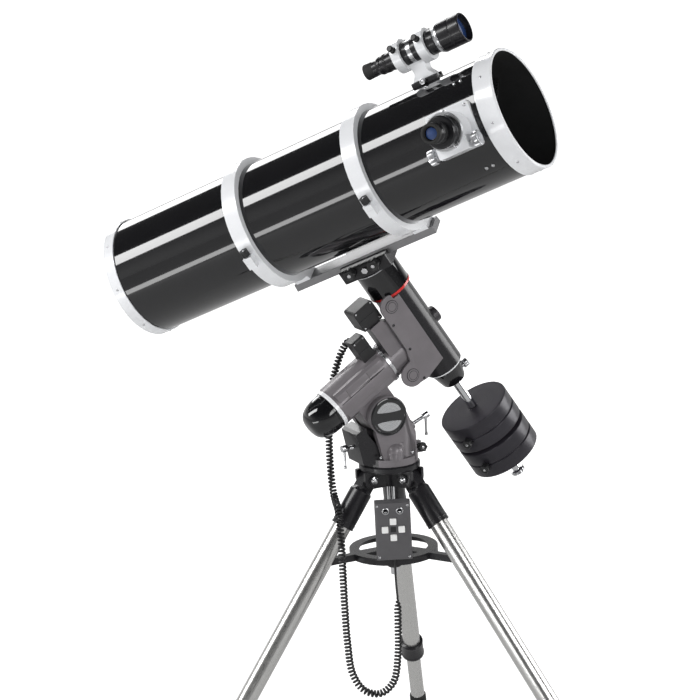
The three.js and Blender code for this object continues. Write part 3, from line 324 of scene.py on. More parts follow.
def evaluated(piece):
    """The mesh of a piece or a curve, with its modifiers and its roundness applied."""
    bpy.context.view_layer.update()
    graph = bpy.context.evaluated_depsgraph_get()
    return bpy.data.meshes.new_from_object(piece.evaluated_get(graph))


print("bench tools ready")

# %% [markdown]
# A finish is more than a colour. Paint has a faint unevenness and orange peel, a turned
# face has fine rings about its axis, and a drawn tube has streaks along its length.
# One function builds them all from noise in the piece's own coordinates. The way that
# the noise is stretched makes it peel, rings or streaks, so no image is needed and the
# pattern moves with the piece.

# %% Finishes
def wired(tree, kind, inputs=(), **settings):
    """Adds a shader node. Each input is given a number or colour, or a wire from a socket."""
    made = tree.nodes.new("ShaderNode" + kind)
    for setting, value in settings.items():
        setattr(made, setting, value)
    for socket, value in dict(inputs).items():
        if isinstance(value, bpy.types.NodeSocket):
            tree.links.new(value, made.inputs[socket])
        else:
            made.inputs[socket].default_value = value
    return made


STREAK_SCALE = 0.02


def coordinates_for(tree, pattern):
    """Where the noise is read: even all over, in rings about Z, or in streaks along Z."""
    place = wired(tree, "TexCoord").outputs["Object"]
    if pattern == "even":
        return place
    parts = wired(tree, "SeparateXYZ", {0: place}).outputs
    if pattern == "rings":
        flat = wired(tree, "CombineXYZ", {"X": parts["X"], "Y": parts["Y"]})
        radius = wired(tree, "VectorMath", {0: flat.outputs[0]}, operation="LENGTH")
        return wired(tree, "CombineXYZ",
                     {"X": radius.outputs["Value"], "Z": parts["Z"]}).outputs[0]
    angle = wired(tree, "Math", {0: parts["Y"], 1: parts["X"]}, operation="ARCTAN2")
    around = wired(tree, "Math", {0: angle.outputs[0], 1: STREAK_SCALE}, operation="MULTIPLY")
    along = wired(tree, "Math", {0: parts["Z"], 1: STREAK_SCALE}, operation="MULTIPLY")
    return wired(tree, "CombineXYZ", {"X": around.outputs[0], "Z": along.outputs[0]}).outputs[0]


def noise(tree, where, scale, detail=3):
    return wired(tree, "TexNoise",
                 {"Scale": scale, "Detail": detail, "Vector": where}).outputs["Fac"]


def spread(tree, value, low, high):
    """Stretches the middle of a noise, where most of it lies, from low to high."""
    return wired(tree, "MapRange", {"From Min": 0.3, "From Max": 0.7, "To Min": low,
                                    "To Max": high, "Value": value}).outputs["Result"]


def finish(name, colour, roughness, metallic=0.0, coat=0.0, pattern="even", grain=900,
           relief=0.1, depth=0.05, uneven=0.12, cloud=30, **sockets):
    """A surface finish: a colour that drifts a little, an uneven polish and a fine relief."""
    paint = bpy.data.materials.new(name)
    paint.use_nodes = True
    tree = paint.node_tree
    surface = tree.nodes["Principled BSDF"]
    surface.inputs["Metallic"].default_value = metallic
    surface.inputs["Coat Weight"].default_value = coat
    surface.inputs["Coat Roughness"].default_value = 0.04
    for socket, value in sockets.items():
        surface.inputs[socket.replace("_", " ")].default_value = value
    where = coordinates_for(tree, pattern)
    drift = noise(tree, where, cloud)
    fine = noise(tree, where, grain, 5)
    half = wired(tree, "Math", {0: spread(tree, fine, 0, 1), 1: 0.5}, operation="MULTIPLY")
    tone = wired(tree, "Math", {0: spread(tree, drift, 0, 1), 1: 0.5, 2: half.outputs[0]},
                 operation="MULTIPLY_ADD")
    darker = [c * (1 - uneven) for c in colour] + [1]
    lighter = [min(1, c * (1 + uneven)) for c in colour] + [1]
    blend = wired(tree, "Mix", {"A": darker, "B": lighter, "Factor": tone.outputs[0]},
                  data_type="RGBA")
    bump = wired(tree, "Bump", {"Strength": relief, "Distance": depth * MM, "Height": fine})
    tree.links.new(blend.outputs["Result"], surface.inputs["Base Color"])
    tree.links.new(spread(tree, fine, roughness * 0.8, roughness * 1.2),
                   surface.inputs["Roughness"])
    tree.links.new(bump.outputs["Normal"], surface.inputs["Normal"])
    return paint


GLOSS_BLACK = finish("gloss_black_enamel", (0.006, 0.006, 0.007), 0.09, coat=1.0, grain=260,
                     relief=0.04, uneven=0.2, Specular_IOR_Level=0.25)
MATT_BLACK = finish("flocked_black_lining", (0.006, 0.006, 0.0065), 0.85, grain=1500, relief=0.6,
                    depth=0.3, uneven=0.35)
SATIN_BLACK = finish("satin_black_paint", (0.012, 0.0115, 0.0135), 0.3, coat=0.2, grain=1100,
                     relief=0.12, uneven=0.2, Specular_IOR_Level=0.35)
CASTING = finish("grey_metallic_paint", (0.175, 0.162, 0.172), 0.42, metallic=0.25, coat=0.15,
                 grain=2600, relief=0.16, uneven=0.14)
DARK_CASTING = finish("dark_metallic_paint", (0.05, 0.047, 0.052), 0.34, metallic=0.4, coat=0.2,
                      grain=2200, relief=0.12, uneven=0.18)
WEIGHT_PAINT = finish("turned_dark_paint", (0.028, 0.026, 0.033), 0.36, metallic=0.35, coat=0.1,
                      pattern="rings", grain=900, relief=0.18, uneven=0.2)
WEIGHT_FACE = finish("plain_cast_face", (0.04, 0.036, 0.047), 0.6, pattern="rings", grain=1100,
                     relief=0.2, uneven=0.15, Specular_IOR_Level=0.15)
WHITE_ENAMEL = finish("white_enamel", (0.78, 0.79, 0.81), 0.24, coat=0.5, grain=500, relief=0.06,
                      uneven=0.02)
CHROME = finish("chrome_plate", (0.72, 0.725, 0.74), 0.09, metallic=1.0, pattern="rings",
                grain=1400, relief=0.08, uneven=0.06)
SILVER = finish("satin_silver", (0.6, 0.605, 0.62), 0.26, metallic=1.0, pattern="rings",
                grain=1800, relief=0.2, uneven=0.08)
LEG_STEEL = finish("polished_steel_tube", (0.72, 0.715, 0.7), 0.27, metallic=1.0,
                   pattern="streaks", grain=2600, relief=0.16, uneven=0.08, cloud=60)
ANODISED = finish("grey_anodised_bar", (0.2, 0.2, 0.205), 0.36, metallic=0.6, grain=1700,
                  relief=0.1, uneven=0.1)
BLACK_ANODISED = finish("black_anodised_metal", (0.014, 0.014, 0.016), 0.26, metallic=0.3,
                        coat=0.2, pattern="rings", grain=1500, relief=0.15, uneven=0.15)
BLACK_PLASTIC = finish("black_moulded_plastic", (0.013, 0.013, 0.014), 0.42, grain=2400,
                       relief=0.25, uneven=0.15)
CASE_PLASTIC = finish("handset_case_plastic", (0.085, 0.083, 0.088), 0.45, grain=3000,
                      relief=0.3, uneven=0.1)
KEY_PLASTIC = finish("white_key_plastic", (0.8, 0.8, 0.79), 0.4, grain=2000, relief=0.1,
                     uneven=0.03)
RUBBER = finish("black_rubber", (0.012, 0.012, 0.012), 0.75, grain=1300, relief=0.35,
                uneven=0.2)
CORD_RUBBER = finish("cord_jacket", (0.011, 0.011, 0.012), 0.4, grain=900, relief=0.15,
                     uneven=0.15)
RED_ENAMEL = finish("red_enamel", (0.62, 0.012, 0.01), 0.28, coat=0.4, grain=800, relief=0.06,
                    uneven=0.08)
MIRROR_COAT = finish("aluminised_glass", (0.93, 0.935, 0.94), 0.02, metallic=1.0, grain=60,
                     relief=0.0, uneven=0.01)
LENS_COAT = finish("coated_lens", (0.02, 0.05, 0.16), 0.04, coat=1.0, pattern="rings", grain=40,
                   relief=0.02, uneven=0.5, cloud=60)
print(len(bpy.data.materials), "finishes mixed")

# %% [markdown]
# The curly cord comes early, because its room decides how much of it shows.
# It is a thin black lead wound into a tight coil, from a socket on the polar axis drive
# down to the handset. The coil's middle line follows the route of its solid, as a
# smooth curve through named points. The lead itself is a helix round that line.
# The drive tilts with the polar axis and the handset doesn't, but this cord is not tied
# to either. The round curve is turned into a mesh.

# %% Curly cord
CORD_ROUTE = [
    (-57, 15.4, 271), (-57.5, 30, 271), (-61, 43, 264), (-68, 51, 248), (-78, 53, 225),
    (-92, 53, 185), (-100, 52, 145), (-106, 50, 100), (-109, 47, 55), (-112, 40, 10),
    (-116, 24, -30), (-121, 3, -46), (-128, -20, -52), (-136, -42, -74), (-141, -56, -112),
    (-143, -60, -170), (-143, -60, -240), (-141, -60, -320), (-134, -62, -385),
    (-115, -71, -420), (-88, -86, -428), (-64, -100, -405), (-53, -105, -350),
    (-48, -103, -280), (-45, -100, -228),
]
LEAD_ROUTE = [(-45, -100, -232), (-43.5, -94, -208), (-39.6, -84.6, -186),
              (-39.3, -84.3, -157)]
COIL_RADIUS = 5.7
WIRE = 4.6
COIL_PITCH = 7.4
POINTS_PER_TURN = 14
COIL_EASE = 26
SHORTEST_STEP = 1.6


def smooth_route(points, steps=40):
    """Points close together on a centripetal curve through the given ones."""
    ends = [Vector(p) for p in points]
    ends = [2 * ends[0] - ends[1]] + ends + [2 * ends[-1] - ends[-2]]
    made = []
    for a, b, c, d in zip(ends, ends[1:], ends[2:], ends[3:]):
        t1 = (b - a).length ** 0.5
        t2 = t1 + (c - b).length ** 0.5
        t3 = t2 + (d - c).length ** 0.5
        for k in range(steps):
            t = t1 + (t2 - t1) * k / steps
            ab = a * (t1 - t) / t1 + b * t / t1
            bc = b * (t2 - t) / (t2 - t1) + c * (t - t1) / (t2 - t1)
            cd = c * (t3 - t) / (t3 - t2) + d * (t - t2) / (t3 - t2)
            abc = ab * (t2 - t) / t2 + bc * t / t2
            bcd = bc * (t3 - t) / (t3 - t1) + cd * (t - t1) / (t3 - t1)
            made.append(abc * (t2 - t) / (t2 - t1) + bcd * (t - t1) / (t2 - t1))
    return made + [ends[-2]]


def even_steps(points, step):
    """The same line, cut into equal steps."""
    made, left = [points[0]], step
    for a, b in zip(points, points[1:]):
        span = (b - a).length
        done = 0.0
        while span - done >= left:
            done += left
            made.append(a.lerp(b, done / span))
            left = step
        left -= span - done
    return made


def wound(route, radius, pitch, per_turn, ease):
    """A helix about a route. Its radius grows from nothing at each end over ease millimetres."""
    line = even_steps(route, pitch / per_turn)
    tangent = (line[1] - line[0]).normalized()
    side = tangent.orthogonal().normalized()
    made = []
    total = len(line)
    for i, middle in enumerate(line):
        ahead = line[min(i + 1, total - 1)] - line[max(i - 1, 0)]
        tangent = ahead.normalized()
        side = (side - tangent * side.dot(tangent)).normalized()
        other = tangent.cross(side)
        a = 2 * math.pi * i / per_turn
        edge_distance = min(i, total - 1 - i) * pitch / per_turn
        t = min(1.0, edge_distance / ease)
        r = radius * t * t * (3 - 2 * t)
        made.append(middle + side * (r * math.cos(a)) + other * (r * math.sin(a)))
    return made


def thinned(points, gap):
    """Leaves out points that come too soon after the one before."""
    made = [points[0]]
    for point in points[1:-1]:
        if (point - made[-1]).length >= gap and (point - points[-1]).length >= gap:
            made.append(point)
    return made + [points[-1]]


coil = wound(smooth_route(CORD_ROUTE), COIL_RADIUS, COIL_PITCH, POINTS_PER_TURN, COIL_EASE)
lead = even_steps(smooth_route(LEAD_ROUTE), 4)
lead = [p for p in lead if (p - coil[-1]).length > 4 and p.z > coil[-1].z]
whole = coil + lead + [Vector(LEAD_ROUTE[-1])]
wire = [HUB @ (p * MM) for p in thinned(whole, SHORTEST_STEP)]
cord_line = bpy.data.curves.new("cord_line", "CURVE")
cord_line.dimensions = "3D"
strand = cord_line.splines.new("POLY")
strand.points.add(len(wire) - 1)
for point, place in zip(strand.points, wire):
    point.co = (*place, 1)
cord_line.bevel_depth = WIRE / 2 * MM
cord_line.bevel_resolution = 2
cord_line.use_fill_caps = True
jacket = bpy.data.objects.new("cord_line", cord_line)
bpy.context.collection.objects.link(jacket)
cord_mesh = evaluated(jacket)
bpy.data.objects.remove(jacket)
cord_mesh.materials.clear()
cord_mesh.materials.append(CORD_RUBBER)
cord_mesh.shade_smooth()
cord = bpy.data.objects.new("curly_cord_wire", cord_mesh)
bpy.context.collection.objects.link(cord)
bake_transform(cord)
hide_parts("curly_cord")

# %% [markdown]
# Most rigid pieces already have the right shape as solids, but their edges are as sharp
# as a drawing. A real casting or bent plate has a small round on each edge, and that
# round is what catches the light.
# Each solid is copied, its flat faces are merged back from triangles, and its edges are
# rounded. The copy keeps its own frame, so that rings and streaks run about its axis.

# %% Dress the solids
def dressed(node, name, paint, edge=0.5, place=None, sharp=SHARP, segments=2):
    """A copy of a solid with merged faces and rounded edges, standing for that solid."""
    solid = frame["nodes"][node]
    place = place or Matrix.Identity(4)
    bm = bmesh.new()
    bm.from_mesh(solid.data)
    bmesh.ops.remove_doubles(bm, verts=bm.verts, dist=2e-6)
    bmesh.ops.dissolve_limit(bm, angle_limit=math.radians(1.5), verts=bm.verts,
                             edges=bm.edges)
    bm.transform(place.inverted())
    bmesh.ops.scale(bm, vec=(1 / MM, 1 / MM, 1 / MM), verts=bm.verts)
    piece = finish_mesh(name, bm, place, solid["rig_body"], paint, edge, segments, sharp)
    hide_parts(node)
    return piece


DRESSING = [
    # solid, piece, finish, edge round, frame
    ("tripod_hub", "hub_casting", SATIN_BLACK, 1.0, HUB),
    ("spreader", "spreader_casting", SATIN_BLACK, 0.8, HUB),
    ("fork", "fork_casting", CASTING, 1.2, HUB),
    ("ra_housing", "polar_housing_casting", CASTING, 0.9, POLAR @ ALONG_X),
    ("ra_motor", "polar_drive_cover", BLACK_PLASTIC, 1.2, POLAR),
    ("dec_housing", "declination_housing_casting", DARK_CASTING, 1.0, POLAR),
    ("cover_plate", "gear_cover_plate", CASTING, 0.8, POLAR),
    ("dec_motor", "declination_drive_cover", BLACK_PLASTIC, 1.4, POLAR),
    ("dec_head", "saddle_head", SATIN_BLACK, 0.8, DEC),
    ("dovetail_bar", "dovetail_rail", ANODISED, 0.6, TUBE),
    ("focuser", "focuser_body", WHITE_ENAMEL, 1.0, FOCUS),
    ("finder_bracket", "finder_stalk", WHITE_ENAMEL, 0.8, SIGHT),
    ("spider", "secondary_holder", SILVER, 0.2, TUBE),
    ("controller", "handset_case", CASE_PLASTIC, 0.8, HANDSET),
    ("ra_clutch", "polar_clutch_lever", CHROME, 0.6, POLAR),
    ("dec_clutch", "declination_clutch_lever", CHROME, 0.6, POLAR),
]
CRISP = 16
for node, name, paint, edge, place in DRESSING:
    crisp = node in ("ra_housing", "fork", "cover_plate", "dec_housing")
    dressed(node, name, paint, edge, place, CRISP if crisp else SHARP)
for n, ring in enumerate(RINGS, start=1):
    dressed(f"ring_lower_{n}", f"tube_ring_lower_half_{n}", WHITE_ENAMEL, 0.9, ring)
    dressed(f"ring_upper_{n}", f"tube_ring_upper_half_{n}", WHITE_ENAMEL, 0.9, ring)
for key in ("up", "down", "left", "right"):
    dressed(f"button_{key}", f"direction_key_{key}", KEY_PLASTIC, 0.7, HANDSET, segments=3)
print(len(DRESSING) + 2 * len(RINGS) + 4, "solids dressed")

# %% [markdown]
# Some solids carry more than one finish, such as a leg with a painted sleeve over a
# steel tube. Cutting them into pieces would lose the joint line's exact place, so the
# faces are painted by where they lie along the piece's own axis.

# %% Paint by place
def painted(piece, paint, chosen):
    """Gives the faces whose middle passes a test another finish. The test gets millimetres."""
    piece.data.materials.append(paint)
    slot = len(piece.data.materials) - 1
    for face in piece.data.polygons:
        if chosen(face.center / MM, face.normal):
            face.material_index = slot


def carved(piece, cutter, sharp=SHARP):
    """Cuts a bmesh in the piece's own millimetres out of it."""
    bmesh.ops.scale(cutter, vec=(MM, MM, MM), verts=cutter.verts)
    bmesh.ops.recalc_face_normals(cutter, faces=cutter.faces)
    mesh = bpy.data.meshes.new("cutter")
    cutter.to_mesh(mesh)
    cutter.free()
    tool = bpy.data.objects.new("cutter", mesh)
    bpy.context.collection.objects.link(tool)
    tool.matrix_world = piece.matrix_world
    rounding = [(m.width, m.segments, m.angle_limit) for m in piece.modifiers]
    piece.modifiers.clear()
    cut = piece.modifiers.new("cut", "BOOLEAN")
    cut.object = tool
    cut.operation = "DIFFERENCE"
    made = evaluated(piece)
    piece.modifiers.clear()
    piece.data = made
    made.shade_smooth()
    made.set_sharp_from_angle(angle=math.radians(sharp))
    bpy.data.objects.remove(tool)
    for width, segments, limit in rounding:
        again = piece.modifiers.new("rounded edges", "BEVEL")
        again.width, again.segments, again.angle_limit = width, segments, limit
        again.limit_method = "ANGLE"
        again.harden_normals = True
    return piece


def bored(piece, radius, low, high, sides=24, base=None):
    """Bores a round hole through a piece, about a base's Z."""
    bm = bmesh.new()
    lathe(bm, [(0, low), (radius, low), (radius, high), (0, high)], sides, base)
    return carved(piece, bm)


print("painting and carving tools ready")

# %% [markdown]
# A telescoping leg is an outer steel tube held in a painted sleeve at the top and a
# clamp collar at the bottom, with a thinner tube sliding in it and a rubber foot.
# The tubes keep their solids' shapes, dressed with rounded edges, and the clamp collar,
# the sleeve's bands and the foot's ribs are turned on the lathe. The sleeve keeps its
# solid's shape, as it grows out of the hinge tongue.

# %% Legs
SLEEVE_END = -108
COLLAR_TOP = -606
COLLAR_END = -650
LEG_TUBE_RADIUS = 19
STEM_BORE = 4.3
for n, leg in enumerate(LEGS, start=1):
    upper = dressed(f"upper_leg_{n}", f"leg_sleeve_and_tube_{n}", SATIN_BLACK, 0.7, leg)
    painted(upper, LEG_STEEL, lambda at, way: COLLAR_TOP < at.z < SLEEVE_END - 0.5
            or (at.z < COLLAR_TOP - 1 and math.hypot(at.x, at.y) < 17))
    turned_at([move(0, 0, SLEEVE_END + 9), move(0, 0, SLEEVE_END + 1.2)],
              f"sleeve_bands_{n}", leg, upper["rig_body"], SATIN_BLACK,
              [(22.6, -3.2), (23.5, -3.2), (23.5, 0), (22.6, 0)], 0.5, 64)
    hood = turned(f"clamp_collar_{n}", leg, upper["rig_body"], SATIN_BLACK,
                  [(LEG_TUBE_RADIUS + 0.05, COLLAR_END - 0.6), (25.2, COLLAR_END - 0.6),
                   (25.2, COLLAR_END + 5), (24.2, COLLAR_END + 6), (24.2, COLLAR_TOP - 5),
                   (24.9, COLLAR_TOP - 4), (24.9, COLLAR_TOP), (LEG_TUBE_RADIUS
                  + 0.05, COLLAR_TOP + 2.5)], 0.6)
    bored(hood, STEM_BORE, 0, 30,
          base=Matrix.Translation((0, 0, (COLLAR_TOP + COLLAR_END) / 2)) @ ALONG_X)
    lower = dressed(f"lower_leg_{n}", f"inner_leg_and_foot_{n}", LEG_STEEL, 0.8, leg)
    reach = (HUB_HEIGHT - 6) / math.cos(math.radians(LEG_SPLAY))
    painted(lower, RUBBER, lambda at, way: at.z < -reach + 45.5)
    turned_at([move(0, 0, 17 + 8 * k - reach) for k in range(3)],
              f"foot_ribs_{n}", leg, lower["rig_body"], RUBBER,
              [(17.6, -1.6), (18.5, -1.2), (18.5, 1.2), (17.6, 1.6)], 0.4, 48)
print("three legs, tubes of", 2 * LEG_TUBE_RADIUS, "mm")

# %% [markdown]
# A hand knob has rounded lobes to grip and a slightly hollow face. Its outline is a
# circle that swells and shrinks, and it is lofted through a few rings that shrink near
# the faces, which gives soft shoulders. A small steel pin shows at its centre.

# %% Knobs
def lobed_grip(bm, radius, low, high, lobes, depth, shoulder, base=None, steps=12):
    """Rounded lobes about Z with soft shoulders and a dished face on top."""
    base = base or Matrix.Identity(4)
    count = lobes * steps
    rows = []
    levels = [(0.0, -shoulder), (0.35, -shoulder * 0.25), (1.0, 0)]
    rings = [(low + share * shoulder, grow) for share, grow in levels]
    rings += [(high - share * shoulder, grow) for share, grow in reversed(levels)]
    for z, grow in rings:
        row = []
        for i in range(count):
            a = 2 * math.pi * i / count
            r = radius * (1 - depth / 2 + depth / 2 * math.cos(lobes * a)) + grow
            row.append(bm.verts.new(base @ Vector((r * math.cos(a), r * math.sin(a), z))))
        rows.append(row)
    for inner, drop in ((0.62, 0), (0.5, 1.0), (0.3, 1.2)):
        rows.append([bm.verts.new(base @ Vector((x, y, high - drop)))
                     for x, y in circle(inner * radius, count)])
    for low_row, high_row in zip(rows, rows[1:]):
        skin(bm, low_row, high_row)
    bm.faces.new(rows[0][::-1])
    bm.faces.new(rows[-1])
    return bm


def knob(node, name, place, grip, thickness, tip, seat, stem, paint=BLACK_PLASTIC):
    """A clamp knob about Z: a stem that ends on what it clamps, a collar and a grip."""
    body = body_of(node)
    bm = bmesh.new()
    bottom = seat + 1.8
    lobed_grip(bm, grip, bottom, bottom + thickness, 6, 0.16, min(1.8, grip * 0.16))
    piece = finish_mesh(name, bm, place, body, paint, sharp=50)
    turned(name + "_stem", place, body, CHROME,
           [(0, tip), (stem - 0.6, tip), (stem, tip + 0.6), (stem, seat + 0.3),
            (grip * 0.55, seat + 0.3), (grip * 0.55, seat + 2.5), (stem * 0.7, seat + 2.8),
            (0, seat + 2.8)], 0.4, 32)
    bm = bmesh.new()
    face = bottom + thickness - 1.3
    lathe(bm, soften([(0, face - 1), (grip * 0.3, face - 1), (grip * 0.3, face + 0.7),
                      (grip * 0.16, face + 1.1), (0, face + 1.1)], 0.4), 32)
    finish_mesh(name + "_pin", bm, place, body, CHROME)
    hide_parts(node)
    return piece


AZIMUTH_SEAT = 35
WEIGHT_TOPS = (-206, -275)
WEIGHT_HEIGHT = 61
WEIGHT_KNOB_BEARING = 215
for n, leg in enumerate(LEGS, start=1):
    knob(f"leg_knob_{n}", f"leg_clamp_knob_{n}",
         leg @ move(0, 0, (COLLAR_TOP + COLLAR_END) / 2) @ ALONG_X, 14, 15, 15.8, 24, 4)
for n, side in ((1, -1), (2, 1)):
    knob(f"azimuth_knob_{n}", f"azimuth_screw_{n}",
         HUB @ move(53.5, 0, 51) @ turn(-90 * side, "X"), 10, 12, 5.3, AZIMUTH_SEAT, 4)
    knob(f"saddle_knob_{n}", f"saddle_screw_{n}",
         DEC @ move(side * 28, 0, 199.3) @ turn(90, "X"), 13, 16, 22.3, 43, 4)
    knob(f"ring_knob_{n}", f"ring_screw_{n}", RINGS[n - 1] @ move(0, -140.99, 0),
         9, 14, -8, 12, 3)
    knob(f"weight_knob_{n}", f"weight_screw_{n}",
         POLAR @ move(0, 0, WEIGHT_TOPS[n - 1] - WEIGHT_HEIGHT / 2)
         @ turn(WEIGHT_KNOB_BEARING, "Z") @ ALONG_X, 10, 13, 9.3, 75, 4)
knob("shaft_lock_knob", "shaft_lock_screw", POLAR @ move(0, 0, -121) @ ALONG_X,
     9, 12, 9.3, 31, 4, SILVER)
print("clamp knobs made")

# %% [markdown]
# The optical tube is a rolled steel sheet in gloss enamel, with a matt black lining.
# The sheet is turned with many sides so that its long reflections stay straight, and
# the hole under the focuser is cut with a boolean. A thin ring inside the mouth is a
# separate small form, as it is pressed into the real tube.

# %% Tube shell
TUBE_RADIUS = 117.5
TUBE_WALL = 2
FOCUSER_HOLE = 29
TUBE_FRONT = 450
TUBE_REAR = -455
TUBE_BODY = body_of("tube")
TUBE_ALONG = TUBE @ ALONG_X
bm = bmesh.new()
BANDS = 9
outside = [(TUBE_RADIUS, TUBE_REAR + (TUBE_FRONT - TUBE_REAR) * k / BANDS)
           for k in range(BANDS + 1)]
inside = [(TUBE_RADIUS - TUBE_WALL, z) for _, z in outside[::-1]]
lathe(bm, outside + inside, 144)
shell = finish_mesh("tube_shell", bm, TUBE_ALONG, TUBE_BODY, GLOSS_BLACK)
bored(shell, FOCUSER_HOLE, 50, 128, 64,
      base_mm(turn(-90, "Y") @ move(FOCUSER_X, 0, 0) @ turn(FOCUSER_ANGLE, "X")))
painted(shell, MATT_BLACK,
        lambda at, way: math.hypot(at.x, at.y) < TUBE_RADIUS - 0.5 and at.z < TUBE_FRONT - 0.1)
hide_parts("tube")
turned("tube_baffle_ring", TUBE_ALONG, TUBE_BODY, MATT_BLACK,
       [(TUBE_RADIUS - TUBE_WALL - 1.2, 300), (TUBE_RADIUS - TUBE_WALL, 300),
        (TUBE_RADIUS - TUBE_WALL, 306), (TUBE_RADIUS - TUBE_WALL - 1.2, 306)], 0.4, 96)
print("tube", 2 * TUBE_RADIUS, "mm across")

# %% [markdown]
# A white end ring closes each end of the tube. At the front it is a drawn cap with a
# rolled bead and small screws round its skirt. At the back it is a casting that
# carries the mirror on three pairs of screws.

# %% End rings
def screw_head(bm, base, radius, height):
    """A pan head with a small round recess, standing on a surface along its own Z."""
    lathe(bm, soften([(0, -0.6), (radius, -0.6), (radius, height * 0.55),
                      (radius * 0.6, height), (radius * 0.34, height),
                      (radius * 0.2, height - 0.5), (0, height - 0.5)], radius * 0.22, 2),
          20, base)
    return bm


def screws(name, place, body, paint, seats, radius, height):
    """Several equal screw heads as one piece."""
    bm = bmesh.new()
    for seat in seats:
        screw_head(bm, base_mm(seat), radius, height)
    return finish_mesh(name, bm, place, body, paint)


def on_tube(x, angle, radius=TUBE_RADIUS):
    """A place on the tube's skin, its Z pointing out."""
    return turn(angle, "X") @ move(x, 0, radius)


front_ring = turned("front_end_ring", TUBE_ALONG, TUBE_BODY, WHITE_ENAMEL,
                    [(117.8, 413), (120.3, 413), (120.5, 415), (120.0, 417.5), (120.0, 444),
                     (120.5, 447), (120.5, 451), (119.2, 453), (115.0, 453), (114.0, 452),
                     (114.0, 450.3), (117.8, 450.3)], 0.8, 144)
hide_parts("front_ring")
bm = bmesh.new()
for k in range(8):
    screw_head(bm, base_mm(on_tube(431, 22.5 + 45 * k, 119.9)), 2.6, 1.3)
    screw_head(bm, base_mm(on_tube(-447, 22.5 + 45 * k, 120.3)), 2.6, 1.2)
finish_mesh("end_ring_screws", bm, TUBE, TUBE_BODY, SILVER)
rear = dressed("rear_cell", "rear_cell_casting", WHITE_ENAMEL, 0.8, TUBE)
painted(rear, BLACK_PLASTIC, lambda at, way: at.x < -459.8)
bm = bmesh.new()
REAR_FACE = -459.3
for k in range(3):
    base = base_mm(turn(120 * k, "X") @ move(REAR_FACE, 70, 0) @ turn(-90, "Y"))
    lobed_grip(bm, 10.4, 2.5, 10.6, 12, 0.08, 1.0, base, 4)
    base = base_mm(turn(120 * k + 18, "X") @ move(REAR_FACE, 70, 0) @ turn(-90, "Y"))
    screw_head(bm, base, 4, 4)
finish_mesh("collimation_knobs", bm, TUBE, TUBE_BODY, BLACK_PLASTIC)
bm = bmesh.new()
mirror_face = [(100 * k / 12, -401.8 + 1.8 * (k / 12) ** 2) for k in range(13)]
lathe(bm, [(0, -425)] + soften([(99, -425), (100, -424), (100, -401), (99.2, -400.1)], 0.3)
      + mirror_face[::-1][1:], 128)
mirror = finish_mesh("concave_mirror", bm, TUBE_ALONG, TUBE_BODY, MIRROR_COAT)
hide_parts("primary_mirror")
bm = bmesh.new()
for k in range(3):
    clip = base_mm(turn(120 * k + 60, "X") @ move(-400, 97, 0) @ ALONG_X)
    drawn_out(bm, rounded(-5, 5, -7, 9, 1.5, 3), 0.6, 3.0, clip)
finish_mesh("mirror_clips", bm, TUBE, TUBE_BODY, SATIN_BLACK, 0.3)
print("end rings and mirror made")

# %% [markdown]
# The small flat mirror hangs in the tube's mouth on four thin vanes. Its holder is
# turned, with three tiny adjusting screws and a bright hub in front, and each vane ends
# in a stud through the tube with a nut outside.

# %% Spider details
bm = bmesh.new()
SPIDER_X = 380
lathe(bm, soften([(0, 393.8), (13, 393.8), (14, 395.5), (13, 397), (6, 397.4), (0, 397.4)],
                 0.6), 48)
for k in range(3):
    a = math.radians(120 * k + 30)
    screw_head(bm, Matrix.Translation((9 * math.cos(a), 9 * math.sin(a), 397.2)), 1.9, 1.3)
finish_mesh("secondary_hub_cap", bm, TUBE_ALONG, TUBE_BODY, SILVER)
turned_at([on_tube(x, FOCUSER_ANGLE + 45 + 90 * k) for k in range(4)
           for x in (SPIDER_X - 7, SPIDER_X + 7)], "vane_nuts", TUBE, TUBE_BODY, SILVER,
          [(0, -0.4), (3.4, -0.4), (3.4, 2.2), (1.8, 3.0), (0, 3.0)], 0.5, 24)
bm = bmesh.new()
slant = Matrix.Translation((FOCUSER_X, 0, 0)) @ turn(45, "Y")
drawn_out(bm, [(-y * 34.6 / 24.5, x) for x, y in circle(24.5, 64)], -1.6, -0.25, slant)
finish_mesh("secondary_flat", bm, TUBE @ turn(FOCUSER_ANGLE, "X"), TUBE_BODY, MIRROR_COAT)
print("spider dressed")

# %% [markdown]
# The counterweights are turned discs with a groove round the middle and a bore for the
# bar. Their rims are turned to a shine, and their flat faces are duller, as cast.
# The bar itself is chromed, with fine grip grooves on the end stop. The cap behind the
# polar axis is a glossy dome with a lip.

# %% Counterweights
BAR_RADIUS = 9
WEIGHT_RADIUS = 75
for n, top in enumerate(WEIGHT_TOPS, start=1):
    low, mid = top - WEIGHT_HEIGHT, top - WEIGHT_HEIGHT / 2
    weight = turned(f"counterweight_disc_{n}", POLAR, body_of(f"counterweight_{n}"), WEIGHT_PAINT,
                    [(BAR_RADIUS + 0.3, low + 1.5), (BAR_RADIUS + 1.8, low),
                     (WEIGHT_RADIUS, low), (WEIGHT_RADIUS, mid - 2),
                     (WEIGHT_RADIUS - 3, mid - 1.6), (WEIGHT_RADIUS - 3, mid + 1.6),
                     (WEIGHT_RADIUS, mid + 2), (WEIGHT_RADIUS, top), (BAR_RADIUS + 1.8, top),
                     (BAR_RADIUS + 0.3, top - 1.5)], 2.2, 128, 4)
    bored(weight, STEM_BORE, 40, 80,
          base=base_mm(move(0, 0, mid) @ turn(WEIGHT_KNOB_BEARING, "Z") @ ALONG_X))
    painted(weight, WEIGHT_FACE, lambda at, way: abs(way.z) > 0.95)
    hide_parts(f"counterweight_{n}")
grooves = [(15 - 0.7 * (k % 2), -388 + 0.8 * k) for k in range(8)]
